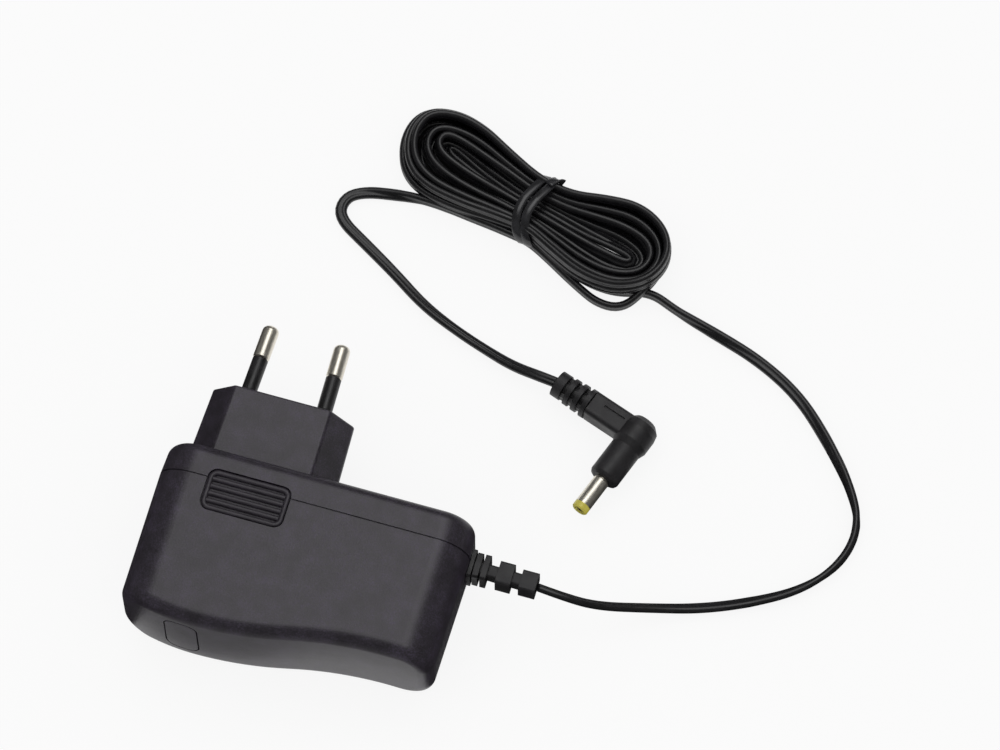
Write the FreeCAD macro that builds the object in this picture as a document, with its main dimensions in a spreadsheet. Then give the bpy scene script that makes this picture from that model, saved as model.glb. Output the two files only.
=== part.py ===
import FreeCAD, Part
import math
import os
import re
import Sketcher

# Plug-in power adapter lying on one large face.
# X runs towards the cord exit, Y the way the mains pins point, Z up from the table.
doc = FreeCAD.newDocument("power_adapter")
sheet = doc.addObject("Spreadsheet::Sheet", "Sizes")

# Driving sizes in millimetres, angles in degrees
sizes = {
    # case: two mouldings that meet at a seam square to Y
    "case_width": 75.0,
    "case_thick": 25.0,
    "case_round": 8.0,
    "seam_place": -5.0,
    "wall": 2.2,
    "side_draft": 0.4,
    "fit_gap": 0.05,
    "seam_line": 0.18,
    "seam_cut": 0.35,
    # rear housing and the wave of its back
    "housing_depth": 35.0,
    "back_round": 3.2,
    "bulge_place": -19.0,
    "hollow_place": 26.0,
    "hollow_depth": 5.3,
    "corner_sweep": 54.0,
    "bulge_sweep": 95.0,
    # front cover and the plug nose
    "cover_depth": 8.0,
    "cover_round": 3.0,
    "lip_length": 2.0,
    "lip_thick": 0.8,
    "nose_place": -15.5,
    "nose_length": 18.0,
    "nose_width": 35.3,
    "nose_flat": 23.4,
    "nose_thick": 13.7,
    "nose_draft": 0.7,
    "nose_wall": 2.0,
    "nose_end": 4.0,
    "nose_edge": 1.2,
    # mains pins with their sleeves
    "pin_length": 19.0,
    "pin_radius": 2.0,
    "pin_tip": 1.4,
    "pin_step": 0.5,
    "pin_shank": 1.45,
    "pin_spread": 18.6,
    "pin_lean": 1.66,
    "pin_tail": 7.0,
    "sleeve_length": 10.3,
    "sleeve_radius": 1.875,
    "collar_radius": 2.3,
    "collar_length": 2.0,
    # finger grip inserts
    "grip_width": 19.8,
    "grip_depth": 10.1,
    "grip_front": 2.4,
    "grip_corner": 2.2,
    "grip_thick": 0.9,
    "grip_gap": 0.2,
    "grip_edge": 0.3,
    "rib_pitch": 1.97,
    "rib_groove": 0.95,
    "rib_depth": 0.5,
    "rib_first": 1.45,
    "rib_margin": 1.4,
    # outline of the blanked cord outlet on the back
    "blank_place": -21.6,
    "blank_width": 8.3,
    "blank_height": 16.2,
    "blank_corner": 3.0,
    "blank_line": 0.35,
    "blank_depth": 0.9,
    # strain relief: plates on a core that droops
    "relief_flange": 7.5,
    "flange_thick": 1.5,
    "neck_size": 4.5,
    "base_plate": 7.0,
    "base_plate_thick": 0.9,
    "plate_start": 1.3,
    "plate_pitch": 5.5,
    "plate_size": 6.3,
    "plate_shrink": 0.6,
    "plate_thick": 3.2,
    "relief_slit": 0.55,
    "plate_corner": 0.7,
    "core_size": 3.3,
    "relief_length": 16.2,
    "relief_droop": 1.1,
    # circuit board and its rails
    "board_level": 5.6,
    "board_thick": 1.6,
    "board_clear": 1.0,
    "board_front": 5.0,
    "rail_bite": 1.0,
    "rail_thick": 1.4,
    "rail_length": 21.0,
    # parts on the board, whose heights leave room under the upper wall
    "bulk_room": 1.6,
    "output_room": 3.1,
    "bobbin_room": 2.2,
    "core_leg": 3.0,
    "bobbin_wall": 0.8,
    "flange_sheet": 0.9,
    "lead_radius": 0.35,
    "mains_wire": 0.8,
    "output_wire": 0.55,
    # cord, hank and tie
    "cord_radius": 0.9,
    "hank_height": 6.0,
    "hank_round": 2.2,
    "tie_place": 24.4,
    "tie_width": 2.8,
    "tie_thick": 0.7,
    "tie_low": 81.6,
    "tie_high": 101.4,
    "tie_height": 6.8,
    # right-angled low-voltage plug
    "plug_x": 64.93,
    "plug_y": 40.76,
    "plug_level": 4.4,
    "plug_turn": 19.5,
    "boot_length": 22.8,
    "boot_core": 2.0,
    "boot_collar": 3.25,
    "boot_rib": 3.45,
    "boot_grow": 0.13,
    "boot_pitch": 2.4,
    "boot_rib_thick": 1.2,
    "arm_length": 13.0,
    "arm_width": 6.4,
    "arm_thick": 5.8,
    "arm_round": 1.1,
    "elbow_radius": 4.4,
    "stem_radius": 3.75,
    "stem_length": 13.85,
    "stem_round": 0.9,
    "barrel_radius": 2.0,
    "barrel_length": 9.5,
    "barrel_root": 5.0,
    "barrel_wall": 0.5,
    "barrel_step": 0.3,
    "barrel_neck": 0.5,
    "tip_length": 1.6,
    "contact_radius": 1.25,
    "contact_bore": 0.85,
}
for row, (word, size) in enumerate(sizes.items(), 1):
    sheet.set(f"A{row}", word)
    sheet.set(f"B{row}", str(size))
    sheet.setAlias(f"B{row}", word)
doc.recompute()


def linked(text):
    """Put the sheet's name before each size named in an expression."""
    def prefix(match):
        word = match.group()
        return f"Sizes.{word}" if word in sizes else word
    return re.sub(r"[a-z_]+", prefix, text)


def number(text):
    return float(sheet.evalExpression(linked(text)))


def bind(item, prop, text):
    item.setExpression(prop, linked(text))


def new_body(name):
    body = doc.addObject("PartDesign::Body", name)
    body.Label = name
    return body


def new_sketch(body, name, plane, offset="0"):
    """Sketch on one of the body's own planes, moved along the plane's normal."""
    sketch = body.newObject("Sketcher::SketchObject", name)
    base = next(f for f in body.Origin.OriginFeatures if f.Role == plane)
    sketch.AttachmentSupport = (base, [""])
    sketch.MapMode = "FlatFace"
    bind(sketch, "AttachmentOffset.Base.z", offset)
    return sketch


def across(body, name, place):
    """Sketch square to Y at the given place, drawn in X and Z."""
    return new_sketch(body, name, "XZ_Plane", f"-({place})")


def hold(sketch, kind, text, *where):
    """One dimension of a sketch, bound to the sheet."""
    index = sketch.addConstraint(Sketcher.Constraint(kind, *where, number(text)))
    bind(sketch, f"Constraints[{index}]", text)


def hold_point(sketch, edge, end, x, y):
    for text, kind, axis in ((x, "DistanceX", -2), (y, "DistanceY", -1)):
        if text == "0":
            sketch.addConstraint(Sketcher.Constraint("PointOnObject", edge, end, axis))
        else:
            hold(sketch, kind, text, -1, 1, edge, end)


def draw_polygon(sketch, corners):
    """Closed outline of straight lines; each corner is a pair of expressions."""
    spots = [FreeCAD.Vector(number(x), number(y), 0) for x, y in corners]
    count = len(spots)
    lines = [sketch.addGeometry(Part.LineSegment(spots[k], spots[(k + 1) % count]))
             for k in range(count)]
    for k, (x, y) in enumerate(corners):
        sketch.addConstraint(Sketcher.Constraint("Coincident", lines[k], 2, lines[(k + 1) % count], 1))
        hold_point(sketch, lines[k], 1, x, y)


def draw_rectangle(sketch, left, right, low, high):
    draw_polygon(sketch, [(left, low), (right, low), (right, high), (left, high)])


def draw_rounded(sketch, left, right, low, high, radius):
    """Rectangle with four equal round corners."""
    x0, x1, y0, y1, r = [number(t) for t in (left, right, low, high, radius)]
    spots = [(x0 + r, y0), (x1 - r, y0), (x1, y0 + r), (x1, y1 - r),
             (x1 - r, y1), (x0 + r, y1), (x0, y1 - r), (x0, y0 + r)]
    spots = [FreeCAD.Vector(x, y, 0) for x, y in spots]
    lines = [sketch.addGeometry(Part.LineSegment(spots[2 * k], spots[2 * k + 1])) for k in range(4)]
    centres = [(x1 - r, y0 + r, -90), (x1 - r, y1 - r, 0), (x0 + r, y1 - r, 90), (x0 + r, y0 + r, 180)]
    arcs = []
    for x, y, start in centres:
        circle = Part.Circle(FreeCAD.Vector(x, y, 0), FreeCAD.Vector(0, 0, 1), r)
        arcs.append(sketch.addGeometry(
            Part.ArcOfCircle(circle, math.radians(start), math.radians(start + 90))))
    for k in range(4):
        sketch.addConstraint(Sketcher.Constraint("Tangent", lines[k], 2, arcs[k], 1))
        sketch.addConstraint(Sketcher.Constraint("Tangent", arcs[k], 2, lines[(k + 1) % 4], 1))
        side = "Vertical" if k % 2 else "Horizontal"
        sketch.addConstraint(Sketcher.Constraint(side, lines[k]))
        if k:
            sketch.addConstraint(Sketcher.Constraint("Equal", arcs[0], arcs[k]))
    hold(sketch, "DistanceY", low, -1, 1, lines[0], 1)
    hold(sketch, "DistanceX", right, -1, 1, lines[1], 1)
    hold(sketch, "DistanceY", high, -1, 1, lines[2], 1)
    hold(sketch, "DistanceX", left, -1, 1, lines[3], 1)
    hold(sketch, "Radius", radius, arcs[0])


def draw_circle(sketch, height, radius):
    """Circle centred on the sketch's upright axis."""
    circle = Part.Circle(FreeCAD.Vector(0, number(height), 0), FreeCAD.Vector(0, 0, 1), number(radius))
    ring = sketch.addGeometry(circle)
    sketch.addConstraint(Sketcher.Constraint("PointOnObject", ring, 3, -2))
    if height == "0":
        sketch.addConstraint(Sketcher.Constraint("PointOnObject", ring, 3, -1))
    else:
        hold(sketch, "DistanceY", height, -1, 1, ring, 3)
    hold(sketch, "Radius", radius, ring)


def loft(body, name, kind, first, second):
    item = body.newObject(f"PartDesign::{kind}Loft", name)
    item.Profile = first
    item.Sections = [second]
    item.Ruled = True
    doc.recompute()
    return item


def pad(body, name, sketch, length, reverse=False):
    item = body.newObject("PartDesign::Pad", name)
    item.Profile = sketch
    bind(item, "Length", length)
    item.Reversed = reverse
    doc.recompute()
    return item


def pocket(body, name, sketch, length=None, reverse=False, both=False):
    """Cut a sketch away; without a length it goes right through."""
    before = body.Shape.Volume
    item = body.newObject("PartDesign::Pocket", name)
    item.Profile = sketch
    if length:
        bind(item, "Length", length)
    else:
        item.Type = "ThroughAll"
    item.Reversed = reverse
    item.Midplane = both
    doc.recompute()
    if not body.Shape.Volume < before:
        raise RuntimeError(f"{name} removed nothing")
    return item


def edge_names(shape, test):
    return [f"Edge{k}" for k, edge in enumerate(shape.Edges, 1) if test(edge)]


def along(edge, axis):
    """True for a straight edge that runs mainly along one axis."""
    box = edge.BoundBox
    spans = [box.XLength, box.YLength, box.ZLength]
    return spans[axis] > 0.9 * edge.Length


def round_off(body, name, base, radius, test):
    item = body.newObject("PartDesign::Fillet", name)
    item.Base = (base, edge_names(base.Shape, test))
    bind(item, "Radius", radius)
    doc.recompute()
    return item


def hollow_out(body, name, base, open_face_place):
    """Shell of even wall, open on the flat face square to Y at the given place."""
    place = number(open_face_place)
    names = [f"Face{k}" for k, face in enumerate(base.Shape.Faces, 1)
             if face.BoundBox.YLength < 0.01 and abs(face.CenterOfMass.y - place) < 0.01]
    item = body.newObject("PartDesign::Thickness", name)
    item.Base = (base, names)
    bind(item, "Value", "wall")
    item.Reversed = True
    item.Join = "Arc"
    doc.recompute()
    return item


def hold_seam(sketch, left, seam, right):
    """The seam line and the two sides, which lean in by the draft."""
    for first, second in ((left, seam), (seam, right)):
        sketch.addConstraint(Sketcher.Constraint("Coincident", first, 2, second, 1))
    hold_point(sketch, seam, 1, "-case_width / 2", "seam_place")
    hold_point(sketch, seam, 2, "case_width / 2", "seam_place")
    hold(sketch, "DistanceX", "side_draft - case_width / 2", -1, 1, left, 1)
    hold(sketch, "DistanceX", "case_width / 2 - side_draft", -1, 1, right, 2)


def draw_housing_plan(sketch):
    """Plan of the rear housing, whose back swells at the left and dips at the right."""
    back = number("seam_place - housing_depth")
    bulge, hollow, dip = [number(t) for t in ("bulge_place", "hollow_place", "hollow_depth")]
    corner_sweep, bulge_sweep = number("corner_sweep"), number("bulge_sweep")
    run = "(hollow_place - bulge_place)"
    sweep_text = f"({run} ^ 2 + hollow_depth ^ 2) / (2 * hollow_depth) - bulge_sweep"
    hollow_sweep = number(sweep_text)
    half = number("case_width / 2 - side_draft")
    up = FreeCAD.Vector(0, 0, 1)
    turn = math.asin((hollow - bulge) / (bulge_sweep + hollow_sweep))
    left_turn = math.asin((half + bulge) / corner_sweep)
    right_turn = math.asin((half - hollow) / hollow_sweep)
    corner = Part.Circle(FreeCAD.Vector(bulge, back + corner_sweep, 0), up, corner_sweep)
    swell = Part.Circle(FreeCAD.Vector(bulge, back + bulge_sweep, 0), up, bulge_sweep)
    dent = Part.Circle(FreeCAD.Vector(hollow, back + dip - hollow_sweep, 0), up, hollow_sweep)
    low, quarter = -math.pi / 2, math.pi / 2
    a = sketch.addGeometry(Part.ArcOfCircle(corner, low - left_turn, low))
    b = sketch.addGeometry(Part.ArcOfCircle(swell, low, low + turn))
    c = sketch.addGeometry(Part.ArcOfCircle(dent, quarter - right_turn, quarter + turn))
    start, end = sketch.getPoint(a, 1), sketch.getPoint(c, 1)
    seam_left = FreeCAD.Vector(number("-case_width / 2"), number("seam_place"), 0)
    seam_right = FreeCAD.Vector(number("case_width / 2"), number("seam_place"), 0)
    left = sketch.addGeometry(Part.LineSegment(start, seam_left))
    seam = sketch.addGeometry(Part.LineSegment(seam_left, seam_right))
    right = sketch.addGeometry(Part.LineSegment(seam_right, end))
    for item in (("Coincident", a, 2, b, 1), ("Tangent", b, 2, c, 2),
                 ("Coincident", a, 1, left, 1), ("Coincident", right, 2, c, 1)):
        sketch.addConstraint(Sketcher.Constraint(*item))
    hold_seam(sketch, left, seam, right)
    hold_point(sketch, a, 2, "bulge_place", "seam_place - housing_depth")
    hold(sketch, "DistanceX", "bulge_place", -1, 1, a, 3)
    hold(sketch, "DistanceX", "bulge_place", -1, 1, b, 3)
    hold(sketch, "Radius", "corner_sweep", a)
    hold(sketch, "Radius", "bulge_sweep", b)
    hold_point(sketch, c, 3, "hollow_place",
               f"seam_place - housing_depth + hollow_depth - ({sweep_text})")


def revolve(body, name, sketch, axis):
    item = body.newObject("PartDesign::Revolution", name)
    item.Profile = sketch
    item.ReferenceAxis = (sketch, [axis])
    doc.recompute()
    return item


def put(item, x="0", y="0", z="0", axis=None, angle=None):
    """Placement from expressions; the turn is about one fixed axis."""
    if axis:
        item.Placement = FreeCAD.Placement(FreeCAD.Vector(), FreeCAD.Rotation(axis, number(angle)))
        bind(item, "Placement.Rotation.Angle", angle)
    bind(item, "Placement.Base.x", x)
    bind(item, "Placement.Base.y", y)
    bind(item, "Placement.Base.z", z)
    return item


def combine(kind, name, base, tool):
    item = doc.addObject(f"Part::{kind}", name)
    item.Label = name
    item.Base = base
    item.Tool = tool
    doc.recompute()
    return item


FACE = "(seam_place + cover_depth)"
MIDDLE = "(case_thick / 2)"
BOARD_TOP = "(board_level + board_thick)"
HEADROOM = f"(case_thick - wall - {BOARD_TOP})"
BOARD_HALF = "(case_width / 2 - wall - side_draft - board_clear)"
BOARD_DEPTH = "(housing_depth - wall - hollow_depth - board_clear)"
CORE_HALF = f"({BOARD_DEPTH} * 0.3)"
CORE_WIDTH = f"({BOARD_HALF} * 0.53)"
BOBBIN_TALL = f"({HEADROOM} - bobbin_room)"
CORE_POST = f"({HEADROOM} * 0.32)"


def draw_grip_outline(sketch, grow):
    draw_rounded(sketch, f"nose_place - grip_width / 2 - {grow}",
                 f"nose_place + grip_width / 2 + {grow}",
                 f"seam_place + grip_front - grip_depth - {grow}",
                 f"seam_place + grip_front + {grow}", f"grip_corner + {grow}")


def cut_grip_seats(body):
    """Shallow seats for the finger grips in both large faces."""
    for name, level, upward in (("upper", "case_thick - grip_thick", True),
                                ("lower", "grip_thick", False)):
        sketch = new_sketch(body, f"{body.Name}_{name}_grip_outline", "XY_Plane", level)
        draw_grip_outline(sketch, "grip_gap")
        pocket(body, f"{body.Name}_{name}_grip_seat", sketch, reverse=upward)


def cut_relief_notch(body):
    """Half of the square hole for the strain relief, in the right wall."""
    sketch = new_sketch(body, f"{body.Name}_notch_outline", "YZ_Plane", "case_width / 2 - 2 * wall")
    half = "(neck_size / 2 + fit_gap)"
    draw_rectangle(sketch, f"seam_place - {half}", f"seam_place + {half}",
                   f"{MIDDLE} - {half}", f"{MIDDLE} + {half}")
    pocket(body, f"{body.Name}_relief_notch", sketch, reverse=True)


def draw_section(sketch, inset):
    """The case's rounded section at the seam, moved inwards."""
    draw_rounded(sketch, f"{inset} - case_width / 2", f"case_width / 2 - {inset}",
                 f"{inset}", f"case_thick - {inset}", f"case_round - {inset}")


def add_board_rails(body):
    """Two rails on each side wall that hold the board's edges."""
    sketch = across(body, "rail_outline", "seam_place - 1.5 * lip_length")
    inside, root = f"({BOARD_HALF} - rail_bite)", "(case_width / 2 - 0.8 * wall)"
    levels = [("board_level - rail_thick", "board_level"),
              (f"{BOARD_TOP} + 2 * fit_gap", f"{BOARD_TOP} + 2 * fit_gap + rail_thick")]
    for low, high in levels:
        draw_rectangle(sketch, inside, root, low, high)
        draw_rectangle(sketch, f"-{root}", f"-{inside}", low, high)
    pad(body, "board_rails", sketch, "rail_length")


def cut_seam_line(body, reverse):
    """Shallow step round the case on this side of the seam."""
    sketch = across(body, "seam_line_outline", "seam_place")
    draw_section(sketch, "(0 - seam_cut)")
    draw_section(sketch, "seam_cut")
    pocket(body, "seam_line_cut", sketch, "seam_line", reverse=reverse)


def make_rear_housing():
    body = new_body("rear_housing")
    plan = new_sketch(body, "housing_plan", "XY_Plane")
    draw_housing_plan(plan)
    slab = pad(body, "housing_slab", plan, "case_thick")
    section = round_off(body, "housing_section_round", slab, "case_round",
                        lambda edge: along(edge, 1))
    inner = number("case_width / 2 - 2 * side_draft - fit_gap")
    middle = number("seam_place - housing_depth / 2")
    rounded = round_off(body, "back_edge_round", section, "back_round",
                        lambda edge: edge.BoundBox.YMax < middle
                        and not (along(edge, 2) and abs(edge.CenterOfMass.x) < inner))
    hollow_out(body, "housing_hollow", rounded, "seam_place")
    rebate = across(body, "rebate_outline", "seam_place")
    draw_section(rebate, "(wall - lip_thick - fit_gap)")
    pocket(body, "lip_rebate", rebate, "lip_length + fit_gap", reverse=True)
    cut_seam_line(body, reverse=True)
    add_board_rails(body)
    cut_grip_seats(body)
    cut_relief_notch(body)
    line = across(body, "blank_outline", "seam_place - housing_depth + blank_depth")
    for inset in ("0", "blank_line"):
        draw_rounded(line, f"blank_place - blank_width / 2 + {inset}",
                     f"blank_place + blank_width / 2 - {inset}",
                     f"{MIDDLE} - blank_height / 2 + {inset}",
                     f"{MIDDLE} + blank_height / 2 - {inset}", f"blank_corner - {inset}")
    pocket(body, "blank_groove", line, reverse=True)
    return body


def draw_nose(sketch, grow):
    """Flattened hexagon of the plug nose."""
    wide = f"(nose_width / 2 + {grow})"
    flat = f"(nose_flat / 2 + {grow} / 2)"
    tall = f"(nose_thick / 2 + {grow})"
    draw_polygon(sketch, [
        (f"nose_place - {wide}", MIDDLE), (f"nose_place - {flat}", f"{MIDDLE} - {tall}"),
        (f"nose_place + {flat}", f"{MIDDLE} - {tall}"), (f"nose_place + {wide}", MIDDLE),
        (f"nose_place + {flat}", f"{MIDDLE} + {tall}"), (f"nose_place - {flat}", f"{MIDDLE} + {tall}")])


def make_front_cover():
    body = new_body("cover_moulding")
    plan = new_sketch(body, "cover_plan", "XY_Plane")
    half = "case_width / 2"
    draw_polygon(plan, [(f"-{half}", "seam_place"), (half, "seam_place"),
                        (f"{half} - side_draft", FACE), (f"side_draft - {half}", FACE)])
    slab = pad(body, "cover_slab", plan, "case_thick")
    section = round_off(body, "cover_section_round", slab, "case_round",
                        lambda edge: along(edge, 1))
    face = number(FACE)
    rounded = round_off(body, "cover_front_round", section, "cover_round",
                        lambda edge: edge.BoundBox.YMin > face - 0.01)
    hollow_out(body, "cover_hollow", rounded, "seam_place")
    root = across(body, "nose_root", f"{FACE} - wall / 2")
    draw_nose(root, "nose_draft")
    end = across(body, "nose_end_outline", f"{FACE} + nose_length")
    draw_nose(end, "0")
    nose = loft(body, "nose", "Additive", root, end)
    tip = number(f"{FACE} + nose_length")
    edges = round_off(body, "nose_edges", nose, "nose_edge",
                      lambda edge: edge.BoundBox.YMax > tip - 0.01 and edge.BoundBox.YLength > 5)
    round_off(body, "nose_face_edge", edges, "nose_edge / 2",
              lambda edge: edge.BoundBox.YMin > tip - 0.01)
    mouth = across(body, "nose_mouth", f"{FACE} - wall - fit_gap")
    draw_nose(mouth, "(nose_draft - nose_wall)")
    floor = across(body, "nose_floor", f"{FACE} + nose_length - nose_end")
    draw_nose(floor, "(0 - nose_wall)")
    loft(body, "nose_cavity", "Subtractive", mouth, floor)
    cut_seam_line(body, reverse=False)
    cut_grip_seats(body)
    lip = across(body, "lip_outline", "seam_place + wall / 2")
    draw_section(lip, "(wall - lip_thick)")
    draw_section(lip, "(wall - fit_gap)")
    pad(body, "cover_lip", lip, "lip_length + wall / 2")
    cut_relief_notch(body)
    shape = body
    for side, sign in (("left", -1), ("right", 1)):
        hole = doc.addObject("Part::Cylinder", f"pin_hole_{side}")
        bind(hole, "Radius", "sleeve_radius + fit_gap")
        bind(hole, "Height", "nose_end * 3")
        lay_pin(hole, sign, "nose_end * 2")
        name = "front_cover" if side == "right" else "cover_with_one_hole"
        shape = combine("Cut", name, shape, hole)
    return shape


def lay_pin(item, sign, back="0"):
    """Put something that points up its own Z on the axis of one mains pin."""
    lean = FreeCAD.Rotation(FreeCAD.Vector(0, 0, sign), number("pin_lean"))
    upright = FreeCAD.Rotation(FreeCAD.Vector(1, 0, 0), -90)
    item.Placement = FreeCAD.Placement(FreeCAD.Vector(), lean * upright)
    shift = f"({back}) * sin(pin_lean * 1deg)"
    bind(item, "Placement.Base.x", f"nose_place + {sign} * (pin_spread / 2 + {shift})")
    bind(item, "Placement.Base.y", f"{FACE} + nose_length - ({back}) * cos(pin_lean * 1deg)")
    bind(item, "Placement.Base.z", MIDDLE)


def turned(name, outline, where=None):
    """Body turned about its own Z from an outline of (radius, height) pairs."""
    body = new_body(name)
    sketch = new_sketch(body, f"{name}_outline", "XZ_Plane")
    draw_polygon(sketch, outline)
    revolve(body, f"{name}_turn", sketch, "V_Axis")
    if where:
        put(body, *where)
    return body


def make_mains_pins():
    made = []
    for side, sign in (("left", -1), ("right", 1)):
        pin = turned(f"mains_pin_{side}", [
            ("0", "-nose_end - pin_tail"), ("pin_shank", "-nose_end - pin_tail"),
            ("pin_shank", "sleeve_length"), ("pin_radius", "sleeve_length + pin_step"),
            ("pin_radius", "pin_length"), ("0", "pin_length")])
        top = number("pin_length")
        round_off(pin, f"pin_tip_{side}", pin.Tip, "pin_tip",
                  lambda edge: edge.BoundBox.ZMin > top - 0.01)
        sleeve = turned(f"pin_sleeve_{side}", [
            ("pin_shank", "-nose_end"), ("sleeve_radius", "-nose_end"),
            ("sleeve_radius", "fit_gap * 2"), ("collar_radius", "fit_gap * 2"),
            ("collar_radius", "collar_length / 3"), ("sleeve_radius", "collar_length"),
            ("sleeve_radius", "sleeve_length"), ("pin_shank", "sleeve_length")])
        for item in (pin, sleeve):
            lay_pin(item, sign)
        made += [pin, sleeve]
    return made


def make_grip(name, level, upward):
    """Rubber insert with five grooves between its ribs."""
    body = new_body(name)
    sketch = new_sketch(body, f"{name}_outline", "XY_Plane", level)
    draw_grip_outline(sketch, "0")
    plate = pad(body, f"{name}_plate", sketch, "grip_thick", reverse=not upward)
    outer = number(level) + (1 if upward else -1) * number("grip_thick")
    round_off(body, f"{name}_edge", plate, "grip_edge",
              lambda edge: abs(edge.BoundBox.ZMin - outer) < 0.01 and edge.BoundBox.ZLength < 0.01)
    sign = "+" if upward else "-"
    lines = new_sketch(body, f"{name}_lines", "XY_Plane", f"{level} {sign} (grip_thick - rib_depth)")
    for row in range(5):
        middle = f"(seam_place + grip_front - rib_first - {row} * rib_pitch)"
        reach = f"(grip_width / 2 - rib_margin * {1.8 if row == 4 else 1})"
        draw_rectangle(lines, f"nose_place - {reach}", f"nose_place + {reach}",
                       f"{middle} - rib_groove / 2", f"{middle} + rib_groove / 2")
    pocket(body, f"{name}_grooves", lines, reverse=upward)
    return body


# How deep the relief's inner flange sits, clear of the cover's leaning wall
RELIEF_SEAT = "(wall + fit_gap + side_draft * relief_flange / 2 / cover_depth)"


def square_on_cord(body, name, start, size, droop):
    sketch = new_sketch(body, name, "YZ_Plane", f"case_width / 2 + {start}")
    middle = f"({MIDDLE} - relief_droop * {droop})"
    draw_rounded(sketch, f"seam_place - {size} / 2", f"seam_place + {size} / 2",
                 f"{middle} - {size} / 2", f"{middle} + {size} / 2", "plate_corner")
    return sketch


def make_strain_relief():
    body = new_body("strain_relief")
    flange = square_on_cord(body, "relief_flange_outline", f"(0 - {RELIEF_SEAT} - flange_thick)",
                            "relief_flange", 0)
    pad(body, "relief_flange", flange, "flange_thick")
    neck = square_on_cord(body, "relief_neck_outline", f"(0 - {RELIEF_SEAT} - flange_thick)",
                          "neck_size", 0)
    pad(body, "relief_neck", neck, f"flange_thick + {RELIEF_SEAT} + 2 * fit_gap + base_plate_thick")
    base = square_on_cord(body, "relief_base_outline", "2 * fit_gap", "base_plate", 0)
    pad(body, "relief_base", base, "base_plate_thick")
    near = square_on_cord(body, "relief_core_near", "base_plate_thick / 2", "core_size", 0)
    far = square_on_cord(body, "relief_core_far", "relief_length", "core_size", 1)
    loft(body, "relief_core", "Additive", near, far)
    for count in range(3):
        start = f"(plate_start + {count} * plate_pitch)"
        thick = f"(plate_thick + {0.35 * count})"
        sketch = square_on_cord(body, f"relief_plate_outline_{count}", start,
                                f"(plate_size - {count} * plate_shrink)", (0.1, 0.45, 0.85)[count])
        pad(body, f"relief_plate_{count}", sketch, thick)
    slit = new_sketch(body, "relief_slit_outline", "YZ_Plane",
                      "case_width / 2 + plate_start + plate_thick / 2 - relief_slit / 2")
    for size in ("(plate_size + 2 * plate_corner)", "core_size"):
        draw_rounded(slit, f"seam_place - {size} / 2", f"seam_place + {size} / 2",
                     f"{MIDDLE} - {size} / 2", f"{MIDDLE} + {size} / 2", "plate_corner")
    pocket(body, "relief_slit", slit, "relief_slit", reverse=True)
    return body


def make_circuit_board():
    body = new_body("circuit_board")
    sketch = new_sketch(body, "board_outline", "XY_Plane", "board_level")
    draw_rounded(sketch, f"-{BOARD_HALF}", BOARD_HALF, f"seam_place - {BOARD_DEPTH}",
                 "seam_place + board_front", "plate_corner")
    draw_rounded(sketch, f"{BOARD_HALF} * 0.36", f"{BOARD_HALF} * 0.4", f"seam_place - {BOARD_DEPTH} * 0.85",
                 f"seam_place - {BOARD_DEPTH} * 0.2", "board_thick / 3")
    pad(body, "board_sheet", sketch, "board_thick")
    return body


def on_board(across_part, depth_part):
    """Place on the board as parts of its half width and of its depth behind the seam."""
    return f"{BOARD_HALF} * {across_part}", f"seam_place - {BOARD_DEPTH} * {depth_part}", BOARD_TOP


def make_can(name, where, radius, tall):
    """Standing capacitor with the crimp near its foot."""
    return turned(name, [
        ("0", "0"), (radius, "0"), (radius, f"{tall} * 0.1"), (f"{radius} * 0.92", f"{tall} * 0.14"),
        (radius, f"{tall} * 0.18"), (radius, f"{tall} * 0.96"), (f"{radius} * 0.9", tall), ("0", tall)],
        on_board(*where))


def make_axial(name, where, radius, length):
    """Part lying along X on two bent leads."""
    body = new_body(name)
    sketch = new_sketch(body, f"{name}_outline", "XZ_Plane")
    half, reach = f"({length} / 2)", f"({length} / 2 + 4 * lead_radius)"
    draw_polygon(sketch, [
        (f"-{reach}", "0"), (f"-{reach}", "lead_radius"), (f"-{half}", "lead_radius"),
        (f"-{half}", f"{radius} * 0.8"), (f"-{half} + {radius} * 0.3", radius),
        (f"{half} - {radius} * 0.3", radius), (half, f"{radius} * 0.8"),
        (half, "lead_radius"), (reach, "lead_radius"), (reach, "0")])
    revolve(body, f"{name}_turn", sketch, "H_Axis")
    lift = f"({radius} + 4 * lead_radius)"
    feet = new_sketch(body, f"{name}_feet", "XY_Plane", f"-{lift}")
    side = "(lead_radius * 0.9)"
    for centre in (f"({reach} - lead_radius)", f"(lead_radius - {reach})"):
        draw_rectangle(feet, f"{centre} - {side}", f"{centre} + {side}", f"-{side}", side)
    pad(body, f"{name}_leads", feet, lift)
    x, y, top = on_board(*where)
    return put(body, x, y, f"{top} + {lift}")


def make_chip(name, where, wide, deep, tall, leads):
    """Moulded package standing on two rows of leads."""
    body = new_body(name)
    outline = new_sketch(body, f"{name}_outline", "XY_Plane", "lead_radius")
    draw_rectangle(outline, f"-{wide} / 2", f"{wide} / 2", f"-{deep} / 2", f"{deep} / 2")
    block = pad(body, f"{name}_block", outline, f"{tall} - lead_radius")
    top = number(tall)
    round_off(body, f"{name}_edge", block, "lead_radius / 2",
              lambda edge: edge.BoundBox.ZMin > top - 0.01)
    rows = new_sketch(body, f"{name}_lead_rows", "XY_Plane")
    for count in range(leads):
        centre = f"({wide} * {(count + 0.5) / leads - 0.5})"
        for near, far in ((f"({deep} * 0.45)", f"({deep} / 2 + 1)"),
                          (f"(0 - {deep} / 2 - 1)", f"(0 - {deep} * 0.45)")):
            draw_rectangle(rows, f"{centre} - lead_radius * 0.7", f"{centre} + lead_radius * 0.7", near, far)
    pad(body, f"{name}_leads", rows, "lead_radius * 2")
    return put(body, *on_board(*where))


CORE_PLACE = (f"{BOARD_HALF} * 0.03", f"seam_place - {BOARD_DEPTH} * 0.34",
              f"{BOARD_TOP} + {BOBBIN_TALL} / 2")


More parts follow.
